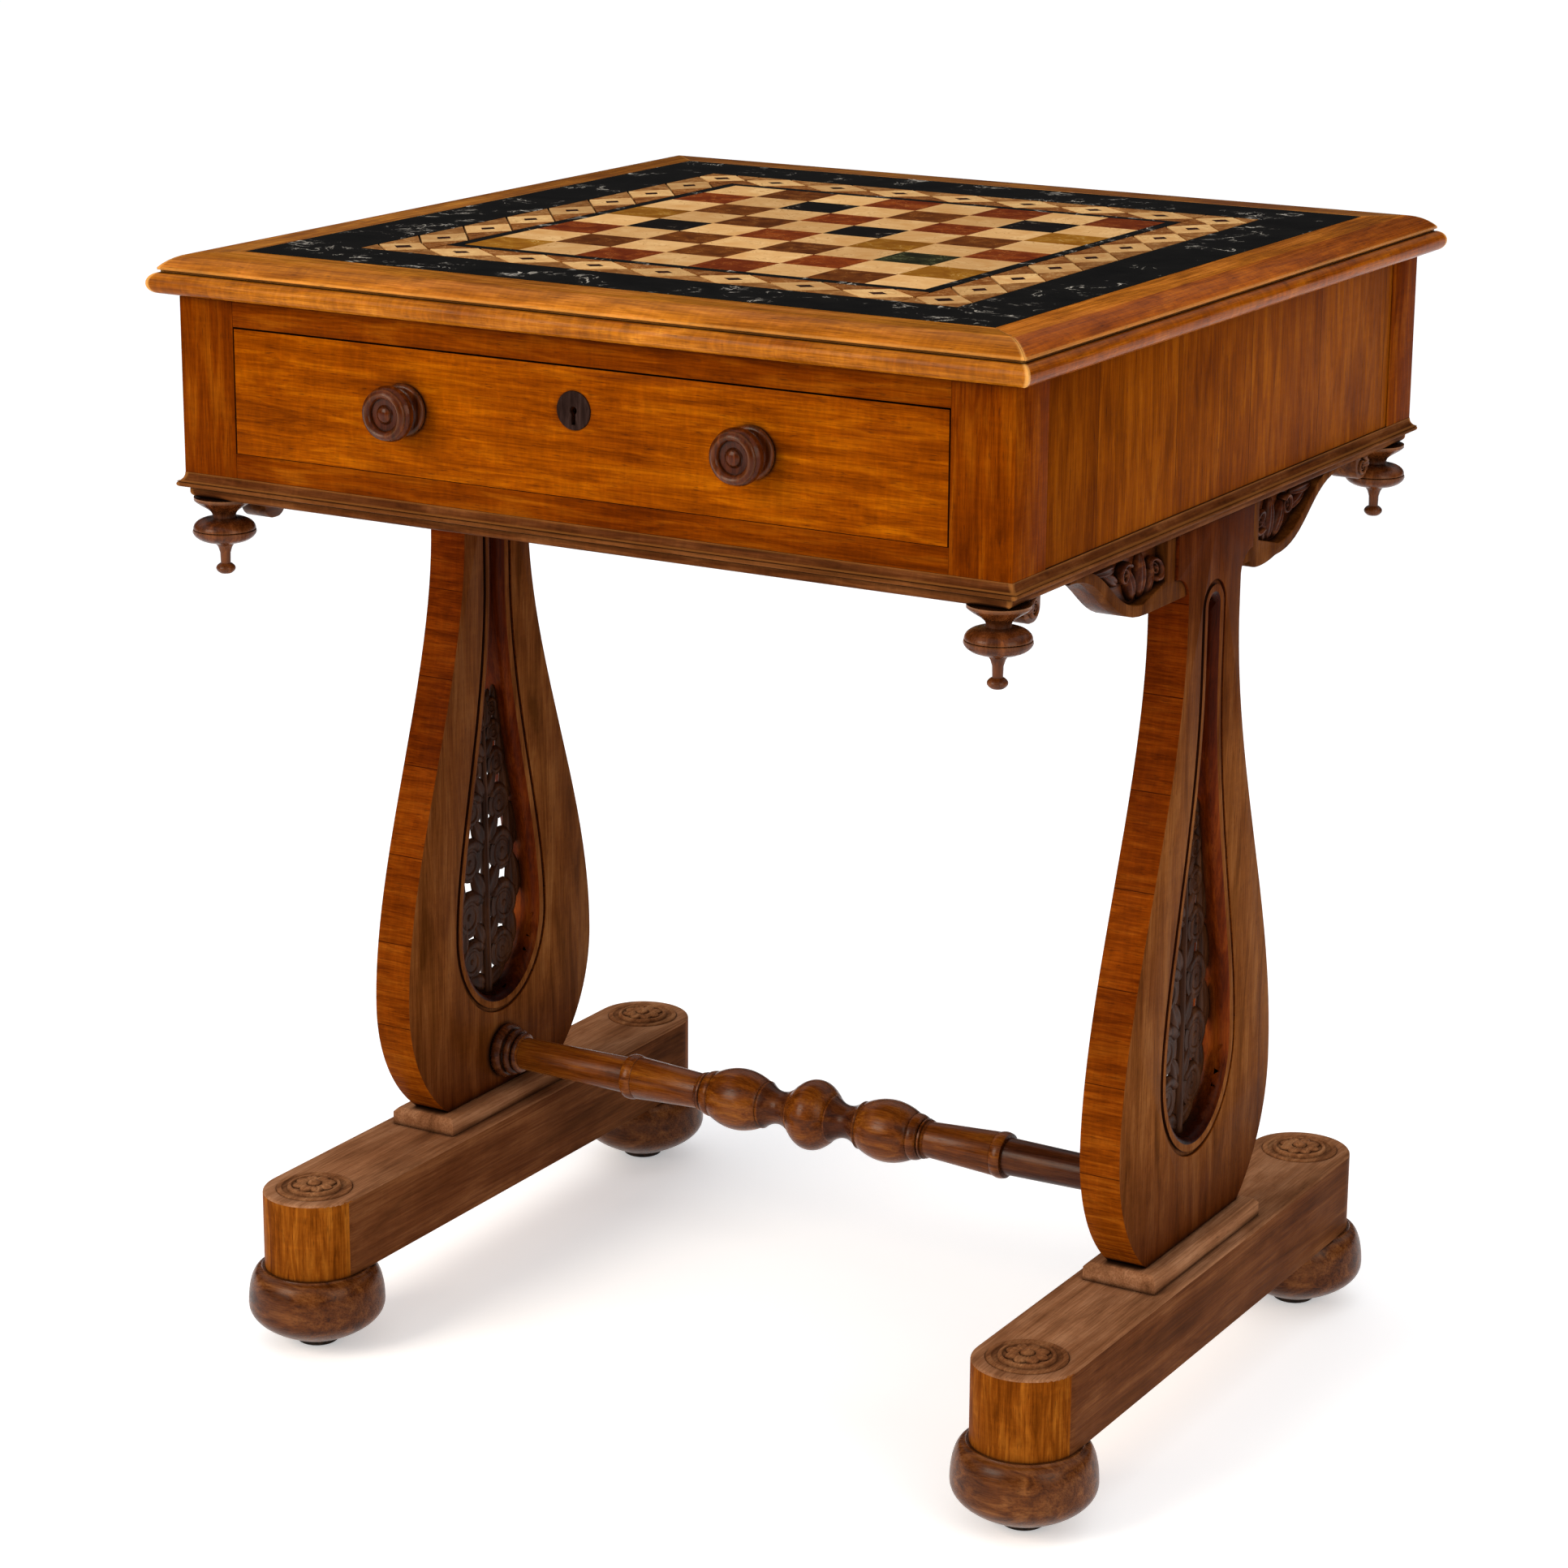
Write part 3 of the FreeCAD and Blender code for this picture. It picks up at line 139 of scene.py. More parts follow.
    # Clouds of old polish, a hand's breadth wide
    haze = add_node(made, "Mapping", {"Vector": spot}, {"Scale": (1 / (70 * mm),) * 3})
    clouds = add_node(made, "TexNoise", {"Vector": haze.outputs[0]}, {"Scale": 1.0, "Detail": 3.0})
    polish = add_node(made, "ValToRGB", {"Fac": clouds.outputs["Fac"]},
                      stops=[(0.34, "C0A890"), (0.62, "FFFFFF")])
    tone = add_node(made, "Mix", {6: tone, 7: polish.outputs[0]}, {0: 0.55},
                    data_type="RGBA", blend_type="MULTIPLY").outputs[2]
    # Painted shade by height: the tone is multiplied by the listed shades at the listed heights
    if shade_by_height:
        height = add_node(made, "SeparateXYZ", {0: spot}).outputs["Z"]
        share = add_node(made, "MapRange", {"Value": height}, {"From Max": shade_by_height[-1][0] * mm})
        height_shade = add_node(made, "ValToRGB", {"Fac": share.outputs[0]},
                        stops=[(level / shade_by_height[-1][0], shade) for level, shade in shade_by_height])
        tone = add_node(made, "Mix", {6: tone, 7: height_shade.outputs[0]}, {0: 1.0},
                        data_type="RGBA", blend_type="MULTIPLY").outputs[2]
    # Painted highlight, with wear: convex arrises are lightened towards the given tone
    if edge_highlight_and_wear:
        arris = add_node(made, "AmbientOcclusion", values={"Distance": 2 * mm}, samples=6, inside=True)
        edge_highlight_share = add_node(made, "MapRange", {"Value": arris.outputs["AO"]},
                          {"From Min": 0.5, "From Max": 0.9, "To Min": 0.55, "To Max": 0.0})
        tone = add_node(made, "Mix", {0: edge_highlight_share.outputs[0], 6: tone}, {7: colour(edge_highlight_and_wear)},
                        data_type="RGBA").outputs[2]
    # Dirt, old wax and painted shade darken the corners and hollows
    hollow = add_node(made, "AmbientOcclusion", values={"Distance": dirt_and_shade_depth * mm}, samples=6)
    unshaded = add_node(made, "MapRange", {"Value": hollow.outputs["AO"]}, {"From Min": 0.35, "From Max": 0.85})
    tone = add_node(made, "Mix", {0: unshaded.outputs[0], 7: tone}, {6: colour("1E0F08")},
                    data_type="RGBA").outputs[2]
    sheen = add_node(made, "MapRange", {"Value": fibres.outputs["Fac"]},
                     {"From Min": 0.3, "From Max": 0.7, "To Min": gloss - 0.06, "To Max": gloss + 0.12})
    relief = add_node(made, "Math", {0: pore, 2: fibres.outputs["Fac"]}, {1: -1.5}, operation="MULTIPLY_ADD")
    bump = add_node(made, "Bump", {"Height": relief.outputs[0]}, {"Strength": 0.25, "Distance": 0.2 * mm})
    links = made.node_tree.links
    links.new(tone, shader.inputs["Base Color"])
    links.new(sheen.outputs[0], shader.inputs["Roughness"])
    links.new(bump.outputs[0], shader.inputs["Normal"])
    shader.inputs["IOR"].default_value = 1.5
    shader.inputs["Specular IOR Level"].default_value = wax
    return made


def begin(name, add, **how):
    """A primitive to start a piece from, alone in the selection."""
    bpy.ops.object.select_all(action="DESELECT")
    add(**how)
    piece = bpy.context.active_object
    piece.name = name
    piece.data.name = name
    return piece


def swell(first, last, middle, steps=10):
    """Rings of a bulge or a cove between two rings, which reaches a given radius half way."""
    pull = 2 * middle - (first[1] + last[1]) / 2
    rings = []
    for step in range(steps + 1):
        t = step / steps
        radius = (1 - t) ** 2 * first[1] + 2 * t * (1 - t) * pull + t ** 2 * last[1]
        rings.append((first[0] + (last[0] - first[0]) * t, radius))
    return rings


def rounded(first, last, outwards, steps=10):
    """Rings of a quarter round between two rings, which sets off outwards or along the axis."""
    rings = []
    for step in range(steps + 1):
        angle = step / steps * math.pi / 2
        fast, slow = math.sin(angle), 1 - math.cos(angle)
        along, out = (slow, fast) if outwards else (fast, slow)
        rings.append((first[0] + (last[0] - first[0]) * along, first[1] + (last[1] - first[1]) * out))
    return rings


def bend(first, near, far, last, steps=12):
    """Points of a free curve between two points, drawn towards two others."""
    points = []
    for step in range(steps + 1):
        t = step / steps
        shares = ((1 - t) ** 3, 3 * (1 - t) ** 2 * t, 3 * (1 - t) * t ** 2, t ** 3)
        points.append(tuple(sum(share * spot[axis] for share, spot in zip(shares, (first, near, far, last)))
                            for axis in (0, 1)))
    return points


def turned(name, rings, place, turn=(0, 0, 0), sides=64):
    """A piece from the lathe: a circle drawn out from ring to ring, each a height and a radius."""
    piece = begin(name, bpy.ops.mesh.primitive_circle_add, vertices=sides, radius=rings[0][1] * mm)
    bpy.ops.object.mode_set(mode="EDIT")
    bpy.ops.mesh.select_mode(type="EDGE")
    bpy.ops.mesh.select_all(action="SELECT")
    bpy.ops.transform.translate(value=(0, 0, rings[0][0] * mm))
    bpy.ops.mesh.edge_face_add()
    for (low, inner), (high, outer) in zip(rings, rings[1:]):
        bpy.ops.mesh.extrude_edges_move(TRANSFORM_OT_translate={"value": (0, 0, (high - low) * mm)})
        share = outer / inner
        bpy.ops.transform.resize(value=(share, share, 1), center_override=(0, 0, high * mm))
    bpy.ops.mesh.edge_face_add()
    bpy.ops.mesh.select_all(action="SELECT")
    bpy.ops.mesh.remove_doubles(threshold=0.001 * mm)
    bpy.ops.mesh.normals_make_consistent(inside=False)
    bpy.ops.object.mode_set(mode="OBJECT")
    piece.location = Vector(place) * mm
    piece.rotation_euler = turn
    bpy.ops.object.transform_apply(location=True, rotation=True, scale=True)
    bpy.ops.object.shade_smooth_by_angle(angle=math.radians(40))
    return piece


def twin(piece, name, scale=(1, 1, 1), turn=(0, 0, 0), place=(0, 0, 0)):
    """A copy of a piece, turned, moved or mirrored, with its normals outwards again."""
    bpy.ops.object.select_all(action="DESELECT")
    piece.select_set(True)
    bpy.context.view_layer.objects.active = piece
    bpy.ops.object.duplicate()
    copy = bpy.context.active_object
    copy.name = name
    copy.data.name = name
    copy.scale = scale
    copy.rotation_euler = turn
    copy.location = Vector(place) * mm
    bpy.ops.object.transform_apply(location=True, rotation=True, scale=True)
    bpy.ops.object.mode_set(mode="EDIT")
    bpy.ops.mesh.select_all(action="SELECT")
    bpy.ops.mesh.normals_make_consistent(inside=False)
    bpy.ops.object.mode_set(mode="OBJECT")
    return copy


corners = {"front_left": (-1, -1), "front_right": (1, -1), "back_left": (-1, 1)}


def four(piece):
    """The piece at the back right, and its mirror images at the other three corners."""
    name = piece.name
    copies = [twin(piece, name + "_" + corner, (x, y, 1)) for corner, (x, y) in corners.items()]
    piece.name = name + "_back_right"
    return copies + [piece]


def fit(piece, finish, slot, *nodes, body="table"):
    """Polish a piece, and set it in the place of its solids."""
    piece.data.materials.clear()
    piece.data.materials.append(finish)
    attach(piece, body)
    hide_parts(*nodes)


bar_x = 265.8
bar_end = 203.5
walnut = wood("waxed_foot_walnut", "3E1C06", "663814", "86542A", "x", figure=7, fleck=0.25, gloss=0.26,
              wax=0.12)
bun_rings = bend((4, 15), (11.6, 31.8), (18, 45.5), (29.5, 45.5))
bun_rings += rounded((29.5, 45.5), (53.6, 37.6), False)[1:] + [(54, 36.6), (55, 36)]
for foot in four(turned("bun_foot", bun_rings, (bar_x, bar_end, 0))):
    fit(foot, walnut, "turned_wood", "bun_feet")


# Glides
# A flat-headed iron glide is nailed under each bun, dark and dull from the floor.
def old_metal(name, tone, bloom):
    """Dull metal with a rough skin, specked about 1.5 mm apart with a second tone."""
    made = bpy.data.materials.new(name)
    made.use_nodes = True
    shader = made.node_tree.nodes["Principled BSDF"]
    spot = add_node(made, "TexCoord").outputs["Object"]
    grit = add_node(made, "Mapping", {"Vector": spot}, {"Scale": (1 / (1.5 * mm),) * 3})
    specks = add_node(made, "TexNoise", {"Vector": grit.outputs[0]}, {"Scale": 1.0, "Detail": 4.0})
    skin = add_node(made, "ValToRGB", {"Fac": specks.outputs["Fac"]}, stops=[(0.4, tone), (0.7, bloom)])
    rough = add_node(made, "MapRange", {"Value": specks.outputs["Fac"]}, {"To Min": 0.4, "To Max": 0.75})
    made.node_tree.links.new(skin.outputs[0], shader.inputs["Base Color"])
    made.node_tree.links.new(rough.outputs[0], shader.inputs["Roughness"])
    shader.inputs["Metallic"].default_value = 0.9
    return made


def dress(node, finish):
    """Give a solid that is shown as it is its own finish."""
    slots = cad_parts[node].data.materials
    slots.clear()
    slots.append(finish)


iron = old_metal("worn_cast_iron", "1C1A18", "3A2A20")
dress("foot_glides", iron)
dress("top_screws", iron)


# Sledge bars
# Two round-ended pine bars under walnut veneer: golden and upright round the ends, red brown and lengthwise
# along the sides, which are painted darker as shade, and lengthwise on the top, which is painted pale and
# grey as a reflection of the sky, and dull.
def eased(node, name, ease, steps=2):
    """A copy of a solid, merged, with its arrises taken off by a few strokes of the plane or left sharp."""
    piece = bpy.data.objects.new(name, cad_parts[node].data.copy())
    piece.data.name = name
    bpy.context.scene.collection.objects.link(piece)
    bpy.ops.object.select_all(action="DESELECT")
    piece.select_set(True)
    bpy.context.view_layer.objects.active = piece
    bpy.ops.mesh.customdata_custom_splitnormals_clear()
    bpy.ops.object.mode_set(mode="EDIT")
    bpy.ops.mesh.select_all(action="SELECT")
    bpy.ops.mesh.remove_doubles(threshold=0.005 * mm)
    bpy.ops.mesh.dissolve_limited(angle_limit=math.radians(0.5))
    bpy.ops.object.mode_set(mode="OBJECT")
    if ease:
        bevel = piece.modifiers.new("eased", "BEVEL")
        bevel.width = ease * mm
        bevel.segments = steps
        bevel.limit_method = "ANGLE"
        bevel.angle_limit = math.radians(40)
        bpy.ops.object.modifier_apply(modifier=bevel.name)
    bpy.ops.object.shade_smooth_by_angle(angle=math.radians(35))
    return piece


def face_with(piece, finish, axis, least):
    """Lay another finish on the faces that look along an axis."""
    piece.data.materials.append(finish)
    for face in piece.data.polygons:
        if abs(face.normal[axis]) > least:
            face.material_index = len(piece.data.materials) - 1


bar_ends = wood("golden_walnut_end", "623006", "8A4A10", "A8661E", "z", figure=6, fleck=0.25)
# Painted light: the tops are paler and greyer as a painted sky reflection, the sides darker as painted shade
bar_tops = wood("sky_lit_walnut_top", "765036", "96694A", "AC8060", "y", figure=14, fleck=0.12, pores=0.35,
                gloss=0.4)
bar_sides = wood("shaded_walnut_side", "4A2A14", "663C20", "7C5030", "y", figure=16, fleck=0.1, pores=0.3)
for side in ("left", "right"):
    bar = eased("bar_" + side, side + "_bar", 1.0)
    fit(bar, bar_ends, "bar_veneer", "bar_" + side)
    face_with(bar, bar_sides, 0, 0.97)
    face_with(bar, bar_tops, 2, 0.3)


# Roundels
# Turned paterae let into the tops of the bars' ends: a rim, a sunk ring and a carved flower round a boss.
# Their walnut is painted as pale and grey as the tops round them, as a reflection of the sky, and is as dull.
def leaf_form(name, length, width, rise, place=(0, 0, 0), turn=(0, 0, 0)):
    """A carved leaf along x: pointed, crowned across and split by a sunk vein, alike on both faces."""
    piece = begin(name, bpy.ops.mesh.primitive_grid_add, x_subdivisions=12, y_subdivisions=8, size=2)
    for point in piece.data.vertices:
        along = (point.co.x + 1) / 2
        across = point.co.y
        half = math.sin(math.pi * along ** 0.8) ** 0.75
        crown = (1 - across ** 2) ** 0.7 * math.sin(math.pi * along) ** 0.5
        vein = 0.4 * math.exp(-(across / 0.2) ** 2)
        point.co = (along * length * mm, across * half * width / 2 * mm, rise * crown * (1 - vein) * mm)
    mirror = piece.modifiers.new("both faces", "MIRROR")
    mirror.use_axis = (False, False, True)
    mirror.merge_threshold = 0.01 * mm
    bpy.ops.object.modifier_apply(modifier=mirror.name)
    bpy.ops.object.mode_set(mode="EDIT")
    bpy.ops.mesh.select_all(action="SELECT")
    bpy.ops.mesh.remove_doubles(threshold=0.01 * mm)
    bpy.ops.mesh.normals_make_consistent(inside=False)
    bpy.ops.object.mode_set(mode="OBJECT")
    piece.location = Vector(place) * mm
    piece.rotation_euler = turn
    bpy.ops.object.transform_apply(location=True, rotation=True, scale=True)
    bpy.ops.object.shade_smooth()
    return piece


def glued(name, pieces):
    """Pieces that are cut from one block, joined under one name."""
    bpy.ops.object.select_all(action="DESELECT")
    for piece in pieces:
        piece.select_set(True)
    bpy.context.view_layer.objects.active = pieces[0]
    bpy.ops.object.join()
    pieces[0].name = name
    pieces[0].data.name = name
    return pieces[0]


bar_top = 109
roundel_rings = [(-2, 25.4), (0.2, 25.4), (1, 24.8), (1, 22), (0.4, 21.5), (0, 21), (0, 18.2), (1.9, 17.6)]
roundel_rings += [(2.5, 17), (2.5, 15.6), (1.3, 14.8), (1.3, 5), (1.3, 0.4)]
boss_rings = [(1.2, 4.6), (3.2, 4.4), (4.4, 3.4), (4.9, 1.8), (4.3, 0.8), (4.2, 0.2)]
place = (bar_x, bar_end, bar_top)
petal = leaf_form("petal", 11.2, 10.5, 2.8, (3.6, 0, 1.3))
flower = [twin(petal, "petal_copy", turn=(0, 0, math.radians(45 * turn)), place=place) for turn in range(8)]
bpy.data.objects.remove(petal)
patera = [turned("patera", roundel_rings, place), turned("boss", boss_rings, place, sides=24)]
# Painted reflection: pale and grey like the bar tops
roundel_wood = wood("carved_walnut_roundel", "724A30", "946442", "AC7E58", "y", figure=8, gloss=0.4)
for roundel in four(glued("roundel", patera + flower)):
    fit(roundel, roundel_wood, "bar_veneer", "roundels")


# Plinths
# A bevelled walnut block spreads each leg's foot over its bar and is glued down on it,
# painted as pale and grey as the bar's top, as a reflection of the sky, and as dull.
plinth = eased("plinths", "plinth_blocks", 0.8)
fit(plinth, bar_tops, "bar_veneer", "plinths")


# Legs
# Lyre-shaped boards, veneered upright on both faces; short leaves laid across cover the shaped edges.
# The walnut is satin, brown on the faces and redder on the edges; painted shade darkens it under the carcase
# and, on the faces, towards the foot.
leg_faces = wood("walnut_leg_veneer", "5A3210", "7A4820", "905E32", "z", figure=14, fleck=0.15, gloss=0.38,
                 shade_by_height=[(121, "A88C78"), (210, "FFFFFF"), (400, "FFFFFF"), (588, "A88468")])
leg_edges = wood("cross_banded_walnut", "743604", "944A0A", "AA6016", "x", figure=5, fleck=0.3,
                 leaf=(58, "z", 20), shade_by_height=[(121, "FFFFFF"), (330, "E8D8D0"), (588, "C09C90")])
for side in ("left", "right"):
    leg = eased("leg_" + side, side + "_leg", 1.0)
    fit(leg, leg_edges, "leg_veneer", "leg_" + side)
    face_with(leg, leg_faces, 0, 0.9)


# Leg linings
# A bent walnut bead lines each teardrop opening, with a sunk quirk between it and the leg.
# It shows the leg's brown on its faces, and a redder walnut inside the opening, which painted shade darkens
# at its foot and towards its top.
lining_wood = wood("red_walnut_lining", "4A1A02", "6E2C04", "884210", "z", figure=8, fleck=0.15, gloss=0.3,
                   wax=0.03, dirt_and_shade_depth=9,
                   shade_by_height=[(188, "5C4A40"), (236, "FFFFFF"), (400, "E0D0C8"), (560, "685048")])
lining = eased("leg_linings", "opening_linings", 0)
opening_middle = 300
leg_inner, leg_outer = 252.05, 279.55
round_over = 6.5
inner_wall = set()
for face in lining.data.polygons:
    inwards = Vector((0, -face.center.y, opening_middle * mm - face.center.z))
    if abs(face.normal.x) < 0.3 and face.normal.dot(inwards) > 0:
        inner_wall.update(face.edge_keys)
for line in lining.data.edges:
    ends = [abs(lining.data.vertices[end].co.x) / mm for end in line.vertices]
    on_face = all(abs(end - leg_inner) < 0.05 or abs(end - leg_outer) < 0.05 for end in ends)
    line.select = on_face and line.key in inner_wall and abs(ends[0] - ends[1]) < 0.1
for group in (lining.data.polygons, lining.data.vertices):
    group.foreach_set("select", [False] * len(group))
bpy.ops.object.mode_set(mode="EDIT")
bpy.ops.mesh.select_mode(type="EDGE")
bpy.ops.mesh.bevel(offset=round_over * mm, segments=5, affect="EDGES", clamp_overlap=False)
bpy.ops.object.mode_set(mode="OBJECT")
bpy.ops.object.shade_smooth_by_angle(angle=math.radians(35))
fit(lining, lining_wood, "lining_wood", "leg_linings")
face_with(lining, leg_faces, 0, 0.9)


# Pierced carvings
# Limewood fretwork in the foot of each opening, stained nearly black and dull: pairs of scrolls climb
# a stem, with leaves between them, one leaf at the tip and two at the foot.
scroll_tube = 0.24


def volute(name, tube=scroll_tube, start=0.76, end=0.13, eye=0.16, steps=48, step_turn=20):
    """A scroll of unit radius in the plane across x, drawn in towards a round eye."""
    shrink = (end / start) ** (1 / steps)
    piece = begin(name, bpy.ops.mesh.primitive_circle_add, vertices=10, radius=tube, location=(0, start, 0))
    bpy.ops.object.transform_apply(location=True, rotation=True, scale=True)
    bpy.ops.object.mode_set(mode="EDIT")
    bpy.ops.mesh.select_mode(type="EDGE")
    bpy.ops.mesh.select_all(action="SELECT")
    bpy.ops.mesh.edge_face_add()
    for step in range(steps):
        bpy.ops.mesh.extrude_edges_move(TRANSFORM_OT_translate={"value": (0, 0, 0)})
        bpy.ops.transform.rotate(value=math.radians(step_turn), orient_axis="X", center_override=(0, 0, 0))
        bpy.ops.transform.resize(value=(shrink, shrink, shrink), center_override=(0, 0, 0))
    bpy.ops.mesh.edge_face_add()
    bpy.ops.mesh.primitive_uv_sphere_add(segments=12, ring_count=8, radius=eye, location=(0, 0, 0))
    bpy.ops.mesh.select_all(action="SELECT")
    bpy.ops.mesh.normals_make_consistent(inside=False)
    bpy.ops.object.mode_set(mode="OBJECT")
    bpy.ops.object.shade_smooth()
    return piece


carving_wood = wood("dark_carved_limewood", "221006", "381E0E", "50301A", "z", figure=6, fleck=0.1, pores=0.2,
                    gloss=0.34, wax=0.05)
scroll_form = volute("scroll_form")
opening_foot = 188
carving_half = 3.2
# Heights above the floor and outer radii of the pairs of scrolls
scroll_pairs = [(214, 18.4), (247, 21.2), (286, 19.6), (321.5, 16.4), (351, 13.2), (374, 10.6), (391.5, 8.6)]
stem_rings = [(opening_foot - 1, 4.2), (250, 3.4), (330, 2.8), (402, 1.2)]
carving = [turned("carving_stem", stem_rings, (bar_x, 0, 0), sides=12)]
web_half, web_share = 1.2, 0.72
for height, radius in scroll_pairs:
    for hand in (-1, 1):
        scale = (carving_half * mm / scroll_tube, hand * radius * mm, radius * mm)
        tilt = math.radians(hand * 150)
        carving.append(twin(scroll_form, "scroll", scale, (tilt, 0, 0), (bar_x, hand * radius, height)))
        web_rings = [(-web_half, radius * web_share), (web_half, radius * web_share)]
        carving.append(turned("scroll_web", web_rings, (bar_x, hand * radius, height), (0, math.pi / 2, 0),
                              sides=24))
    # A leaf out of the stem above each scroll and one along the lining beside it: place, length and width
    # as shares of the scroll's radius, and tilt in degrees
    for hand in (-1, 1):
        for share, lift, length, width, tilt in ((0, 0.3, 1.5, 0.8, 58), (1.7, -0.1, 1.9, 0.95, 98)):
            carving.append(leaf_form("sprig", radius * length, radius * width, carving_half * 0.85,
                                     (bar_x, hand * radius * share, height + radius * lift),
                                     (math.radians(90), math.radians(-tilt), math.radians(90 * hand))))
carving.append(leaf_form("tip", 26, 9, carving_half, (bar_x, 0, 378),
                         (math.radians(90), math.radians(-90), 0)))
# Two leaves spread from the stem's foot over the floor of the opening
for hand in (-1, 1):
    carving.append(leaf_form("foot_leaf", 25, 14, carving_half * 0.85, (bar_x, 0, opening_foot + 4),
                             (math.radians(90), math.radians(-24), math.radians(90 * hand))))
bpy.data.objects.remove(scroll_form)
right_carving = glued("right_carving", carving)
for panel in (twin(right_carving, "left_carving", (-1, 1, 1)), right_carving):
    fit(panel, carving_wood, "carved_wood", "carved_panels")


# Stretcher
# One turned and polished walnut rail: a ball between two bulbs, ringed tapers, and plain rods into bosses
# on the legs. Painted shade darkens the necks, the right rod and the left boss.
rail_half = swell((0, 24), (14, 16.6), 22.2) + [(14.4, 15.6), (15.4, 15.4)]
rail_half += swell((15.4, 15.4), (36.4, 15.4), 11.2)[1:] + [(37.2, 16.2), (38.4, 15.3), (39.2, 16.3)]
rail_half += swell((39.2, 16.3), (76, 16.3), 21.1)[1:] + [(76.9, 15.2), (77.8, 15.8)]
rail_half += rounded((77.8, 15.8), (84, 12.6), False)[1:]
rail_half += [(85, 13.6), (86, 13.6), (86.6, 12.3), (88, 13), (89, 12)]
rail_half += [(138, 14.6), (138.6, 14.2)] + swell((138.8, 14.6), (146.6, 14.8), 15.6)
rail_half += [(147, 12.4), (233.6, 11.2)]
rail_half += swell((234, 13), (237.6, 13), 14.4) + [(238, 12.4)] + swell((238.2, 14.4), (243.6, 14.4), 16.4)
rail_half += [(244, 14.6)] + swell((244.2, 17), (252.05, 17), 19) + [(252.2, 9), (265.8, 9)]
rail_rings = [(-along, radius) for along, radius in reversed(rail_half)] + rail_half[1:]
rail_height = 147
rail = turned("turned_stretcher", rail_rings, (0, 0, rail_height), (0, math.pi / 2, 0))
rail_wood = wood("polished_stretcher_walnut", "482004", "723A0A", "905414", "x", figure=8, fleck=0.2,
                 gloss=0.24, wax=0.14, dirt_and_shade_depth=9)
fit(rail, rail_wood, "turned_wood", "stretcher")
shaded_rod_wood = wood("shaded_stretcher_walnut", "30140A", "4E2610", "6A3C1C", "x", figure=8, fleck=0.2, gloss=0.24,
                wax=0.1)
neck_start, neck_end, rod_start, boss_start = 16, 36.4, 147, 234
# Painted shade: the necks, the rod on the right and the boss on the left take the darker walnut
rail.data.materials.append(shaded_rod_wood)
for face in rail.data.polygons:
    along = face.center.x / mm
    in_neck = neck_start < abs(along) < neck_end
    face.material_index = int(in_neck or along > rod_start or along < -boss_start)


# Base moulding
# Dark walnut moulding planed in four lengths and mitred under the carcase: a hollow, a nosed lip and
# a return. Dirt and painted shade lie in its quirk, and its lip carries a painted highlight along with its
# wear.
def moulding(name, section):
    """Four mitred lengths of one section, each of its points a distance from the middle and a height."""
    reach = 400 * mm
    front = begin(name, bpy.ops.mesh.primitive_circle_add, vertices=len(section), radius=1)
    for point, (out, height) in zip(front.data.vertices, section):
        point.co = (-reach, -out * mm, height * mm)
    bpy.ops.object.mode_set(mode="EDIT")
    bpy.ops.mesh.select_all(action="SELECT")
    bpy.ops.mesh.edge_face_add()
    bpy.ops.mesh.extrude_region_move(TRANSFORM_OT_translate={"value": (2 * reach, 0, 0)})
    for lean in (-1, 1):
        bpy.ops.mesh.select_all(action="SELECT")
        bpy.ops.mesh.bisect(plane_co=(0, 0, 0), plane_no=(lean, 1, 0), use_fill=True, clear_outer=True)
    bpy.ops.mesh.select_all(action="SELECT")
    bpy.ops.mesh.normals_make_consistent(inside=False)
    bpy.ops.object.mode_set(mode="OBJECT")
    bpy.ops.object.shade_smooth_by_angle(angle=math.radians(40))
    lengths = {"front": front}
    for turn, side in enumerate(("right", "back", "left"), 1):
        lengths[side] = twin(front, name + "_" + side, turn=(0, 0, turn * math.pi / 2))
    front.name = name + "_front"
    return lengths


def arc(middle, radius, first, last, steps=8):
    """Points on an arc of a section, between two angles in degrees."""
    angles = [math.radians(first + (last - first) * step / steps) for step in range(steps + 1)]
    return [(middle[0] + radius[0] * math.cos(turn), middle[1] + radius[1] * math.sin(turn))
            for turn in angles]


base_foot = 588
base_section = [(245, 605), (245, base_foot)] + arc((276.6, 592.4), (8.4, 4.4), -90, 0)
base_section += [(285, 594.6), (283.6, 595.4), (284.6, 596)]
base_section += arc((289, 597.75), (2, 1.75), -90, 90) + arc((291, 605), (4.15, 5.5), 270, 180)
base_tones = ("40200C", "623618", "7E4E2A")
base_woods = {axis: wood("dark_walnut_moulding_" + axis, *base_tones, axis, figure=8, gloss=0.34, dirt_and_shade_depth=9,
                         edge_highlight_and_wear="94602E") for axis in "xy"}
for side, length in moulding("base_moulding", base_section).items():
    fit(length, base_woods["x" if side in ("front", "back") else "y"], "moulding_wood", "base_mouldings")


# Pendants
# Turned drops under the carcase's corners: a flared cap, a flattened ball, a stem and a button.
# Dark waxed walnut with a small glint, its edges lightened by a painted highlight along with their wear.
pendant_axis = 270.5
drop = [(0.5, 18.5), (-1.4, 18.5)] + bend((-1.8, 18), (-4.6, 15.6), (-7, 8.4), (-10.4, 7.4)) + [(-12.4, 7.4)]
drop += [(-12.9, 8.6)] + rounded((-13, 9.2), (-19.4, 19.4), True)[1:] + [(-19.9, 18.8), (-20.4, 19.6)]
drop += rounded((-20.4, 20), (-28, 7.4), False)[1:]
drop += [(-28.4, 6.4), (-31.4, 4.4), (-35, 3.3), (-41.6, 3.1)]
drop += swell((-42, 4), (-48, 3.6), 6.1) + [(-48, 0.3)]
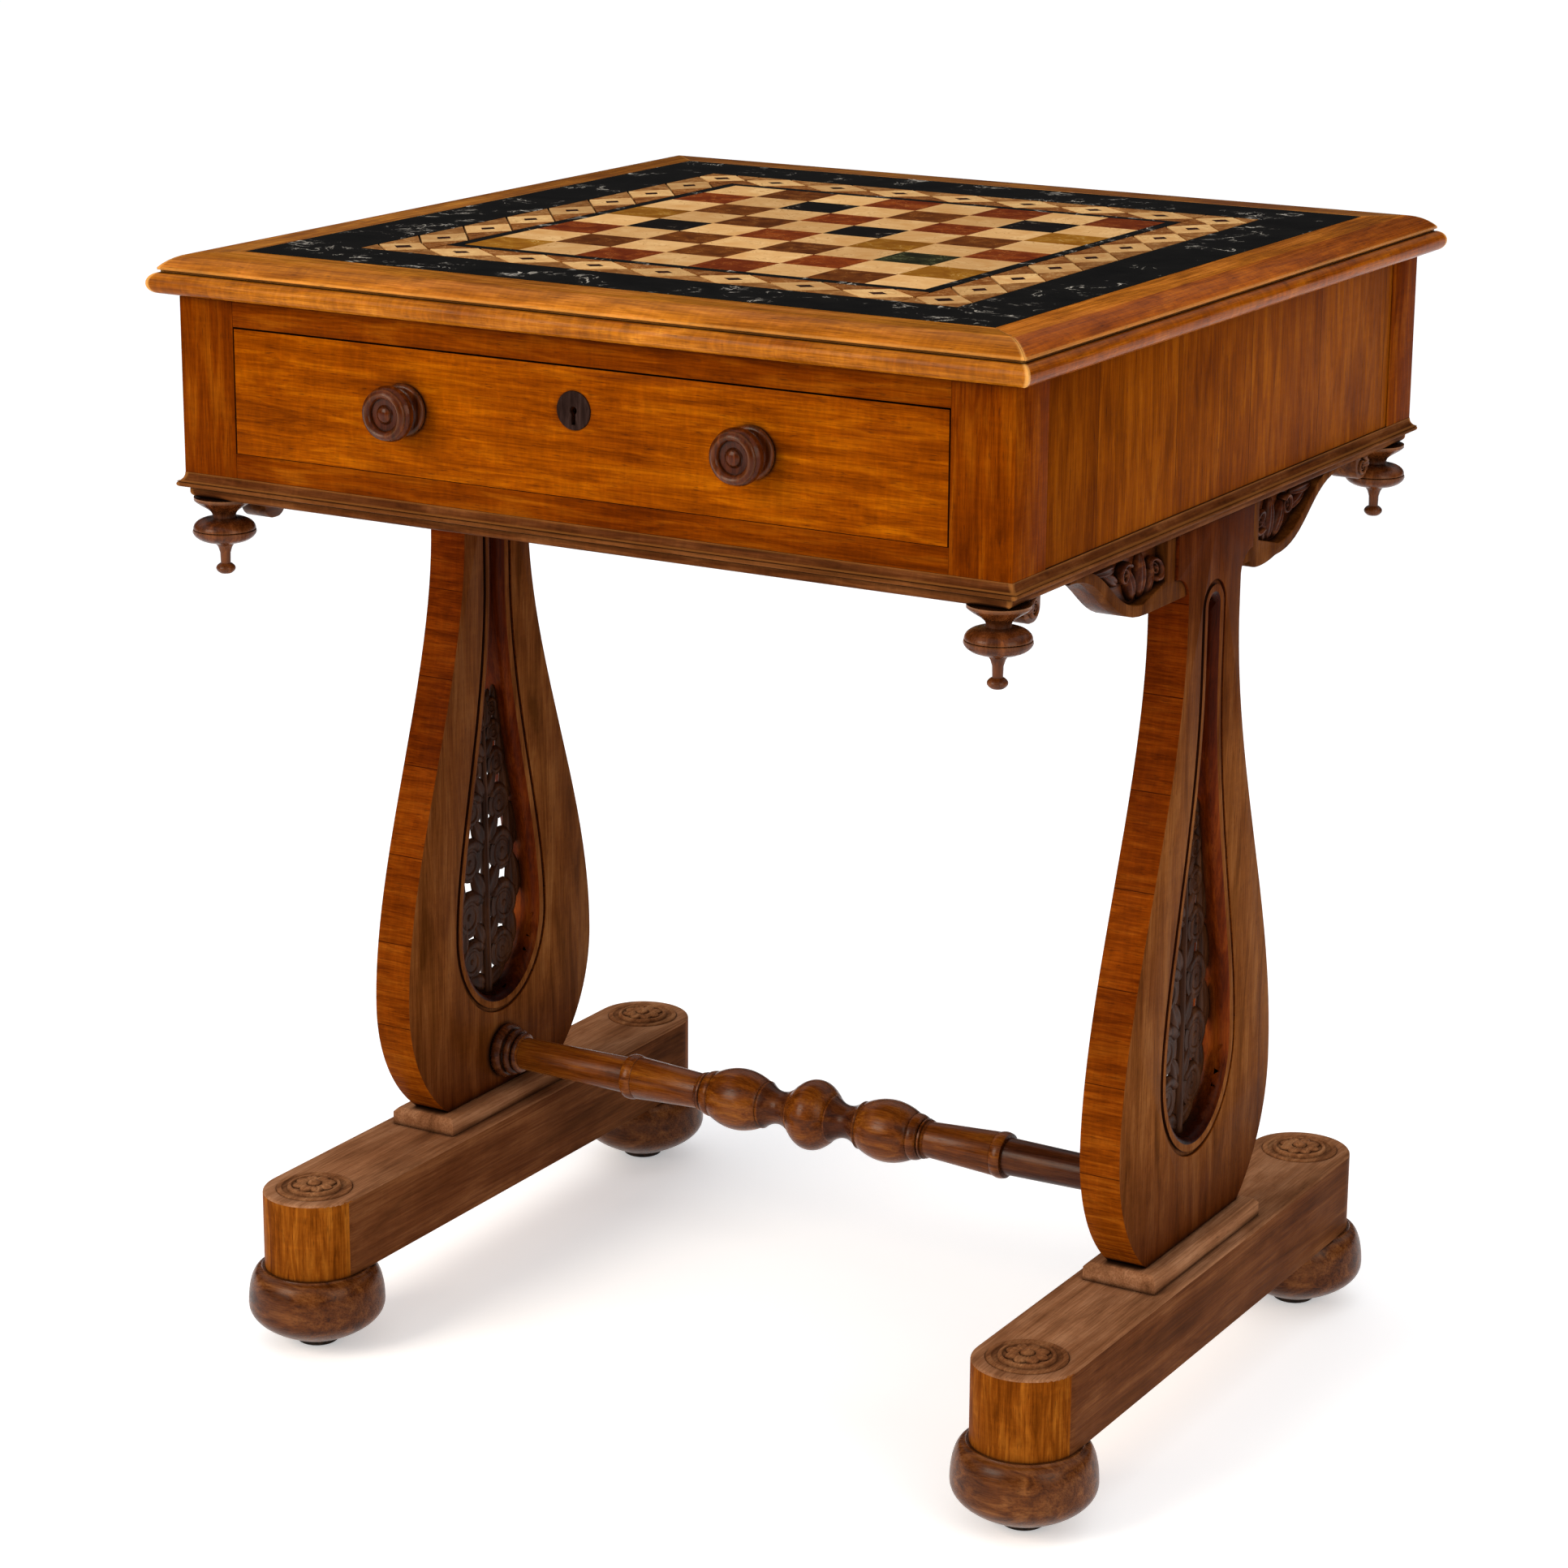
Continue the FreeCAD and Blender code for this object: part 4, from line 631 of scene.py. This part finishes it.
pendant_wood = wood("dark_turned_walnut", "381806", "5C2E10", "7C4622", "z", figure=8, fleck=0.2, gloss=0.24,
                    wax=0.14, dirt_and_shade_depth=8, edge_highlight_and_wear="9A6A44")
for pendant in four(turned("pendant", drop, (pendant_axis, pendant_axis, base_foot), sides=48)):
    fit(pendant, pendant_wood, "turned_wood", "pendants")


# Corner scrolls
# Small sawn blocks beside the pendants, rounded below and carved with a scroll on the outer face.
# Dark waxed walnut, with dirt and painted shade in the cuts.
def sawn(name, outline, x0, x1):
    """A flat piece fretted to an outline of y and z, between two faces across x."""
    piece = begin(name, bpy.ops.mesh.primitive_circle_add, vertices=len(outline), radius=1)
    for point, (y, z) in zip(piece.data.vertices, outline):
        point.co = (x0 * mm, y * mm, z * mm)
    bpy.ops.object.mode_set(mode="EDIT")
    bpy.ops.mesh.select_all(action="SELECT")
    bpy.ops.mesh.edge_face_add()
    bpy.ops.mesh.extrude_region_move(TRANSFORM_OT_translate={"value": ((x1 - x0) * mm, 0, 0)})
    bpy.ops.mesh.select_all(action="SELECT")
    bpy.ops.mesh.normals_make_consistent(inside=False)
    bpy.ops.object.mode_set(mode="OBJECT")
    bevel = piece.modifiers.new("eased", "BEVEL")
    bevel.width = 0.7 * mm
    bevel.segments = 2
    bevel.limit_method = "ANGLE"
    bevel.angle_limit = math.radians(50)
    bpy.ops.object.modifier_apply(modifier=bevel.name)
    bpy.ops.object.shade_smooth_by_angle(angle=math.radians(35))
    return piece


carved_dark = wood("dark_carved_walnut", "381A08", "5C3010", "7C4A20", "y", figure=6, fleck=0.1, pores=0.3,
                   gloss=0.32, wax=0.12)
block_in, block_out = 255.55, 277.55
scroll_low = base_foot - 17
scroll_start, scroll_end, scroll_round = 227.3, 248.3, 9
scroll_outline = [(scroll_start, base_foot)]
scroll_outline += arc((scroll_start + scroll_round, scroll_low + scroll_round), (scroll_round,) * 2, 180, 270)
scroll_outline += arc((scroll_end - scroll_round, scroll_low + scroll_round), (scroll_round,) * 2, 270, 360)
scroll_outline += [(scroll_end, base_foot)]
scroll_face = block_out - 3
scroll_block = sawn("corner_scroll", scroll_outline, block_in, scroll_face)
scroll_form = volute("scroll_form", tube=0.22, start=0.78)
scroll_eye = twin(scroll_form, "scroll_eye", (13 * mm, 8.4 * mm, 8.4 * mm), (math.radians(90), 0, 0),
                  (scroll_face, 236.4, scroll_low + 8.6))
scroll_leaf = leaf_form("scroll_leaf", 12, 8, 2.8, (scroll_face, 248, scroll_low + 10),
                        (math.radians(90), 0, math.radians(-90)))
for block in four(glued("corner_scroll", [scroll_block, scroll_eye, scroll_leaf])):
    fit(block, carved_dark, "moulding_wood", "corner_scrolls")


# Leg brackets
# Sawn walnut brackets glued beside the legs' collars: a brown border along the lower edge, and above it
# a scroll and leaves cut deep into the block, nearly black, with dirt and painted shade in the cuts.
# The front pair ends in a square heel against the leg, the back pair in a round toe beside a small ledge.
collar = 55
neck = 38.5
collar_foot = base_foot - 28
collar_ledge = collar_foot - 9.5
bracket_low = base_foot - 41
bracket_heel = 94
bracket_tip = 198
bracket_bend = (bracket_heel + bracket_tip) / 2
sweep = bend((bracket_heel, bracket_low), (bracket_bend, bracket_low),
             (bracket_bend, base_foot - 3), (bracket_tip, base_foot - 3), 16)
toe_low = bracket_low - 2.4
toe = bend((collar, collar_ledge), (56, toe_low + 0.9), (64, toe_low - 0.2), (74, toe_low), 8)
toe += bend((74, toe_low), (82, toe_low + 0.2), (88, toe_low + 1.2), (bracket_heel, bracket_low), 6)[1:]
shoulder = [(collar, base_foot), (collar, collar_foot), (neck, collar_foot)]
border_width = 7
stile_width = 12
inner_edge = [(collar + stile_width, base_foot), (collar + stile_width, bracket_low + border_width + 8)]
for before, after in zip(sweep, sweep[1:]):
    run = Vector(after) - Vector(before)
    lift = Vector((-run[1], run[0])).normalized() * border_width
    middle = (Vector(before) + Vector(after)) / 2 + lift
    inner_edge.append((middle[0], min(middle[1], base_foot)))
carved_face, border_face = block_out - 8, block_out - 9
# Leaves as root y, drop below the moulding, length, width and tilt in degrees
bracket_leaves = ((92, 33, 32, 14, 86), (101, 32, 28, 12, 62), (84, 34, 26, 9, 104), (122, 18, 32, 9, 24),
                  (126, 7, 34, 9, 2))
bracket_leaf_rise = 5.6
# The carving is darker than the border, with dirt and painted shade deep in its cuts
bracket_dark = wood("soiled_and_shaded_bracket_walnut", "2A0E04", "4A200A", "6C3A18", "y", figure=6, fleck=0.1,
                    pores=0.3, gloss=0.3, wax=0.05, dirt_and_shade_depth=9)
bracket_plain = wood("plain_bracket_walnut", "40200A", "5E3412", "764822", "z", figure=12, fleck=0.15,
                     gloss=0.36)
for end, way, edge in (("front", -1, [(collar, bracket_low)] + sweep), ("back", 1, toe + sweep[1:])):
    outline = shoulder + [(neck, edge[0][1])] + edge + inner_edge[::-1]
    border = sawn("bracket_border_" + end, outline, border_face, block_out)
    outline = [(collar, base_foot)] + edge + [(bracket_tip, base_foot)]
    carved = [sawn("bracket_ground", outline, block_in, carved_face)]
    carved.append(twin(scroll_form, "bracket_scroll", (24 * mm, 8.5 * mm, 15 * mm), (math.radians(-60), 0, 0),
                       (block_out - 5.5, 76, base_foot - 16)))
    carved.append(twin(scroll_form, "bracket_curl", (22 * mm, 9 * mm, 9 * mm), (math.radians(140), 0, 0),
                       (block_out - 5.5, 117, base_foot - 13)))
    for root, drop_by, length, width, tilt in bracket_leaves:
        carved.append(leaf_form("bracket_leaf", length, width, bracket_leaf_rise,
                                (block_out - 7.4, root, base_foot - drop_by),
                                (math.radians(90), math.radians(-tilt), math.radians(90))))
    for piece, finish in ((glued("leg_bracket_" + end, carved), bracket_dark), (border, bracket_plain)):
        for side, hand in (("left", -1), ("right", 1)):
            fit(twin(piece, piece.name + "_" + side, (hand, way, 1)), finish, "carved_wood", "leg_brackets")
        bpy.data.objects.remove(piece)
bpy.data.objects.remove(scroll_form)
dress("leg_dowels", lining_wood)


# Carcase posts and front rails
# Solid corner posts and the two rails round the drawer, tenoned together and faced with figured oak
# of a warm orange brown under a satin polish.
front_tones = ("5C2500", "7A3600", "924C06")
post_wood = wood("figured_oak_post", *front_tones, "z", figure=9, fleck=0.25)
front_rail_wood = wood("figured_oak_rail", *front_tones, "x", figure=9, fleck=0.25)
for corner in ("front_left", "front_right", "back_left", "back_right"):
    post = eased("post_" + corner, corner + "_post", 0.6)
    fit(post, post_wood, "front_oak", "post_" + corner)
for level in ("top", "bottom"):
    front_rail = eased("front_" + level + "_rail", level + "_drawer_rail", 0.5)
    fit(front_rail, front_rail_wood, "front_oak", "front_" + level + "_rail")


# Side and back panels
# Boards tongued into the posts, veneered with upright leaves of oak about 105 mm wide, which differ a little
# in shade and show fine dark joints.
panel_tones = ("6C3400", "864402", "9A560A")
side_veneer = wood("oak_side_veneer", *panel_tones, "z", figure=9, fleck=0.12, leaf=(105, "y", 27))
back_veneer = wood("oak_back_veneer", *panel_tones, "z", figure=9, fleck=0.12, leaf=(105, "x", 27))
for node, name, finish in (("side_panel_left", "left_side_panel", side_veneer),
                           ("side_panel_right", "right_side_panel", side_veneer),
                           ("back_panel", "veneered_back", back_veneer)):
    fit(eased(node, name, 0.5), finish, "side_veneer", node)


# Inside of the carcase
# Plain pine runners with guides, kickers, stops, glue blocks and the bed under the slab, left bare,
# pale and without a shine.
pine_tones = ("8A6238", "AC8250", "C29C68")
pine = {axis: wood("bare_pine_" + axis, *pine_tones, axis, figure=10, fleck=0.05, pores=0.15, gloss=0.6)
        for axis in "xy"}
for node, name, axis in (("drawer_runners", "runners", "y"), ("drawer_kickers", "kickers", "y"),
                         ("drawer_stops", "stops", "x"), ("glue_blocks", "blocks_under_top", "x"),
                         ("bed_board", "slab_bed", "x")):
    fit(eased(node, name, 0.4, 1), pine[axis], "drawer_pine", node)


# Drawer
# A figured oak front on a pine box, lap dovetailed at the front and through dovetailed at the back.
# The front is the brightest veneer, with lively cross figure.
drawer_front = eased("drawer_front", "front_of_drawer", 0.7)
front_figure = wood("figured_oak_front", "743400", "984A00", "B46204", "x", figure=8, fleck=0.3)
fit(drawer_front, front_figure, "front_oak", "drawer_front", body="drawer")
for node, name, axis in (("drawer_side_left", "left_drawer_side", "y"),
                         ("drawer_side_right", "right_drawer_side", "y"),
                         ("drawer_back", "back_of_drawer", "x"), ("drawer_bottom", "bottom_of_drawer", "x")):
    fit(eased(node, name, 0.4, 1), pine[axis], "drawer_pine", node, body="drawer")


# Knobs
# Mushroom knobs turned from dark walnut: a base ring, a deep waist and a dished head with a raised rim and
# a button. Old wax glints on them, and their rims carry a painted highlight along with their wear.
knob_height = 660.7
knob_reach = 120
front_y = -286.85
knob_rings = [(-14, 5), (-0.2, 5), (0, 14.6)] + swell((0.2, 15.2), (3.6, 15), 15.8)
knob_rings += rounded((4, 14), (6.6, 10), True) + [(10, 10), (10.6, 12.6)]
knob_rings += swell((11, 13.6), (20, 14.8), 16.8) + swell((20.4, 15), (23.4, 13.6), 15.2)
knob_rings += rounded((24, 13), (20, 9.4), True)[1:] + [(19.8, 6), (20.4, 5.2)]
knob_rings += rounded((20.4, 5), (22.6, 0.3), False)[1:]
knob_wood = wood("dark_knob_walnut", "280C00", "4A1C02", "6A300A", "z", figure=6, fleck=0.15, gloss=0.16,
                 wax=0.12, dirt_and_shade_depth=7, edge_highlight_and_wear="A87850")
for side, x in (("left", -knob_reach), ("right", knob_reach)):
    knob = turned(side + "_knob", knob_rings, (x, front_y, knob_height), (math.pi / 2, 0, 0), sides=48)
    fit(knob, knob_wood, "turned_wood", "knob_" + side, body="drawer")


# Keyhole plate and lock
# A round dark horn plate, streaked and smooth, is let into the front; behind it a brass box lock is screwed,
# dull and brown with age, with its bolt.
horn = wood("dark_horn_plate", "1C1210", "2E2220", "423432", "z", figure=4, fleck=0.05, pores=0.1, gloss=0.3)
fit(eased("escutcheon", "keyhole_plate", 0.4), horn, "turned_wood", "escutcheon", body="drawer")
brass = old_metal("dull_lock_brass", "6E5424", "A08040")
for node in ("lock_case", "lock_bolt"):
    dress(node, brass)
dress("lock_screws", iron)


# Rim of the top
# Mitred golden oak rails with a flat and a thumb mould, over a bead with mottled figure.
# Painted light and shade: the rails and bead are lighter across the front and back than along the sides, the
# flats are lightest at the front, then the right and the left, and darkest at the back, and the arrises carry
# a painted highlight along with their wear.
# Painted light and shade: lighter tones across the front and back, darker along the sides, and each flat its
# own lighter or darker tones
rim_tones = {"x": ("965206", "C07416", "DE9234"), "y": ("803A00", "A65202", "C0680C")}
side_lit_flat_tones = {"front": ("9E5C08", "CA801E", "E8A040"), "right": ("985206", "C27214", "DC8E2E"),
              "back": ("663608", "88500E", "A26A20"), "left": ("844A06", "A86614", "C2802A")}
rim_woods = {axis: wood("golden_oak_rim_" + axis, *rim_tones[axis], axis, figure=8, fleck=0.3, gloss=0.26,
                        wax=0.03, edge_highlight_and_wear="EAB060") for axis in "xy"}
for side in ("front", "right", "back", "left"):
    axis = "x" if side in ("front", "back") else "y"
    rim = eased("rim_" + side, side + "_rim", 0.5)
    fit(rim, rim_woods[axis], "rim_oak", "rim_" + side)
    side_lit_flat_wood = wood("sunned_oak_rim_" + side, *side_lit_flat_tones[side], axis, figure=8, fleck=0.35, gloss=0.26,
                     wax=0.02)
    face_with(rim, side_lit_flat_wood, 2, 0.995)
bead_section = [(281.25, 716)] + arc((294.75, 722.5), (6.49, 6.5), -90, 90, 14) + [(281.25, 729)]
# Painted light and shade: the bead is lighter across the front and back than along the sides
bead_tones = {"x": ("984F02", "BC7010", "D6902C"), "y": ("803A00", "A45400", "BE6C0C")}
bead_woods = {axis: wood("mottled_oak_bead_" + axis, *bead_tones[axis], axis, figure=10, fleck=0.45,
                         gloss=0.22, wax=0.06, edge_highlight_and_wear="EAB060") for axis in "xy"}
for side, length in moulding("rim_bead", bead_section).items():
    fit(length, bead_woods["x" if side in ("front", "back") else "y"], "rim_oak", "rim_beads")


# Marble slab
# Polished black marble, cut to lie flush in the rim, with sparse white veins and shell flecks.
def marble(name, ground, cloud, vein, cloud_size, vein_size, vein_share, stone=None, start=0):
    """Polished marble: clouds between two tones, broken veins, and a shade of its own for each stone.

    The sizes of clouds and veins, the pitch of the stones and where their rows start are in millimetres;
    vein_share is how much of the veins shows.
    """
    made = bpy.data.materials.new(name)
    made.use_nodes = True
    shader = made.node_tree.nodes["Principled BSDF"]
    spot = add_node(made, "TexCoord").outputs["Object"]
    shift = spot
    if stone:
        laid = add_node(made, "VectorMath", {0: spot}, {1: (start * mm, start * mm, 0.0)}, operation="ADD")
        cell = add_node(made, "VectorMath", {0: laid.outputs[0]}, {1: (stone * mm, stone * mm, 1.0)},
                        operation="SNAP")
        chance = add_node(made, "TexWhiteNoise", {"Vector": cell.outputs[0]})
        shift = add_node(made, "VectorMath", {0: spot, 1: chance.outputs["Color"]},
                         operation="ADD").outputs[0]
    wide = add_node(made, "Mapping", {"Vector": shift}, {"Scale": (1 / (cloud_size * mm),) * 3})
    clouds = add_node(made, "TexNoise", {"Vector": wide.outputs[0]},
                      {"Scale": 1.0, "Detail": 6.0, "Roughness": 0.62, "Distortion": 0.6})
    tone = add_node(made, "ValToRGB", {"Fac": clouds.outputs["Fac"]},
                    stops=[(0.34, ground), (0.66, cloud)]).outputs[0]
    fine = add_node(made, "Mapping", {"Vector": shift}, {"Scale": (1 / (vein_size * mm),) * 3})
    paths = add_node(made, "TexNoise", {"Vector": fine.outputs[0]},
                     {"Scale": 1.0, "Detail": 4.0, "Roughness": 0.55, "Distortion": 1.4})
    centred = add_node(made, "Math", {0: paths.outputs["Fac"]}, {1: 0.5}, operation="SUBTRACT")
    away = add_node(made, "Math", {0: centred.outputs[0]}, operation="ABSOLUTE")
    line = add_node(made, "MapRange", {"Value": away.outputs[0]},
                    {"From Min": 0.0, "From Max": 0.022, "To Min": 1.0, "To Max": 0.0})
    broken = add_node(made, "MapRange", {"Value": clouds.outputs["Fac"]},
                      {"From Min": 0.62 - vein_share * 0.3, "From Max": 0.72 - vein_share * 0.3})
    share = add_node(made, "Math", {0: line.outputs[0], 1: broken.outputs[0]}, operation="MULTIPLY")
    tone = add_node(made, "Mix", {0: share.outputs[0], 6: tone}, {7: colour(vein)},
                    data_type="RGBA").outputs[2]
    if stone:
        shade = add_node(made, "ValToRGB", {"Fac": chance.outputs["Value"]},
                         stops=[(0.0, "CCC4BC"), (1.0, "FFFFFF")])
        tone = add_node(made, "Mix", {6: tone, 7: shade.outputs[0]}, {0: 0.7},
                        data_type="RGBA", blend_type="MULTIPLY").outputs[2]
    wear = add_node(made, "MapRange", {"Value": clouds.outputs["Fac"]}, {"To Min": 0.12, "To Max": 0.3})
    made.node_tree.links.new(tone, shader.inputs["Base Color"])
    made.node_tree.links.new(wear.outputs[0], shader.inputs["Roughness"])
    shader.inputs["IOR"].default_value = 1.49
    shader.inputs["Specular IOR Level"].default_value = 0.03
    return made


black_marble = marble("black_marble", "050404", "0E0C0A", "D8D2C8", 34, 26, 0.25)
dress("marble_slab", black_marble)


# Playing squares and their line
# Specimen marbles sawn 3 mm thick and bedded in cement: cream against rust, brown, ochre, green and black,
# each stone with its own shade and veins, and a thin black line round them.
square = 40.5
squares = {
    "light_squares": marble("cream_marble", "E8B06C", "FACE90", "C08844", 22, 16, 0.5, square),
    "rust_squares": marble("rust_marble", "6C2400", "924006", "B06C34", 14, 12, 0.5, square),
    "brown_squares": marble("brown_marble", "582802", "7E420A", "986430", 14, 12, 0.5, square),
    "ochre_squares": marble("ochre_marble", "945A0C", "B47A1C", "D4AA5C", 16, 12, 0.5, square),
    "green_squares": marble("green_marble", "16180A", "323216", "6E7450", 14, 12, 0.5, square),
    "black_squares": marble("black_square_marble", "060403", "140A06", "A89C8C", 26, 18, 0.2, square),
}
for node, finish in squares.items():
    dress(node, finish)
dress("board_stringing", black_marble)


# Specimen band
# Lozenges of cream marble with a dark eye, set in tawny and umber triangles with dark joints between,
# all polished with the slab, each stone with its own shade.
band_run, band_count = 340, 7
lozenge = band_run / band_count
band = {
    "band_lozenges": marble("cream_band_marble", "DCA668", "F6CC8C", "B07C40", 14, 12, 0.5,
                            lozenge, lozenge / 2),
    "band_eyes": marble("dark_red_marble", "1E0A04", "38140A", "7A4028", 9, 8, 0.4, lozenge, lozenge / 2),
    "band_outer_triangles": marble("tawny_band_marble", "8A5424", "B07C44", "D2A872", 10, 9, 0.6, lozenge),
    "band_inner_triangles": marble("umber_band_marble", "7A4014", "A0662E", "CC9C66", 10, 9, 0.6, lozenge),
}
for node, finish in band.items():
    dress(node, finish)


# Studio
# A dull white paper floor without an edge in view, a large soft light from the front left, a fill from
# the right, a bright ceiling over dim walls, and the photograph's camera.
paper = bpy.data.materials.new("white_paper")
paper.use_nodes = True
paper_spot = add_node(paper, "TexCoord").outputs["Object"]
paper_grain = add_node(paper, "TexNoise", {"Vector": paper_spot}, {"Scale": 3.0, "Detail": 2.0})
paper_tone = add_node(paper, "ValToRGB", {"Fac": paper_grain.outputs["Fac"]},
                      stops=[(0.0, "F2F5FA"), (1.0, "F7F9FD")])
paper_shader = paper.node_tree.nodes["Principled BSDF"]
paper.node_tree.links.new(paper_tone.outputs[0], paper_shader.inputs["Base Color"])
paper_shader.inputs["Roughness"].default_value = 0.9
paper_shader.inputs["Emission Color"].default_value = colour("FAFCFF")
paper_shader.inputs["Emission Strength"].default_value = 0.37
floor = begin("studio_floor", bpy.ops.mesh.primitive_plane_add, size=80)
floor.data.materials.append(paper)

world = bpy.data.worlds.new("studio_white")
world.use_nodes = True
around = add_node(world, "TexCoord").outputs["Generated"]
height = add_node(world, "SeparateXYZ", {0: around}).outputs["Z"]
ceiling = add_node(world, "ValToRGB", {"Fac": height}, stops=[(0.25, "2C2C2C"), (0.75, "FFFFFF")])
seen = add_node(world, "LightPath").outputs["Is Camera Ray"]
backdrop = add_node(world, "Mix", {0: seen, 6: ceiling.outputs[0]}, {7: colour("FFFFFF")},
                    data_type="RGBA")
world.node_tree.links.new(backdrop.outputs[2], world.node_tree.nodes["Background"].inputs["Color"])
world.node_tree.nodes["Background"].inputs["Strength"].default_value = 1.0
bpy.context.scene.world = world
bpy.context.scene.view_settings.view_transform = "Standard"

aim = Vector((0, 0, 0.45))
for name, place, size, power in (("key_light", (-1.5, -3.2, 2.0), 1.8, 110),
                                 ("fill_light", (3.2, -1.2, 1.6), 2.0, 55)):
    bpy.ops.object.light_add(type="AREA", location=place)
    light = bpy.context.active_object
    light.name = name
    light.data.size = size
    light.data.energy = power
    light.data.color = colour("FFF0DC")[:3]
    light.rotation_euler = (aim - light.location).to_track_quat("-Z", "Y").to_euler()

yaw, pitch, roll = (math.radians(angle) for angle in (30.346, 15.936, 0.385))
back = Vector((math.sin(yaw) * math.cos(pitch), -math.cos(yaw) * math.cos(pitch), math.sin(pitch)))
level = Vector((math.cos(yaw), math.sin(yaw), 0))
upright = back.cross(level)
right = level * math.cos(roll) + upright * math.sin(roll)
top = upright * math.cos(roll) - level * math.sin(roll)
bpy.ops.object.camera_add()
camera = bpy.context.active_object
camera.name = "photo_camera"
stand = Matrix.Translation(Vector((1284.5, -2237.6, 1114.6)) * mm)
camera.matrix_world = stand @ Matrix((right, top, back)).transposed().to_4x4()
film_width, image_width, focal_pixels = 36.0, 1932, 5038.7
camera.data.sensor_width = film_width
camera.data.lens = film_width * focal_pixels / image_width
camera.data.clip_end = 200.0
bpy.context.scene.camera = camera
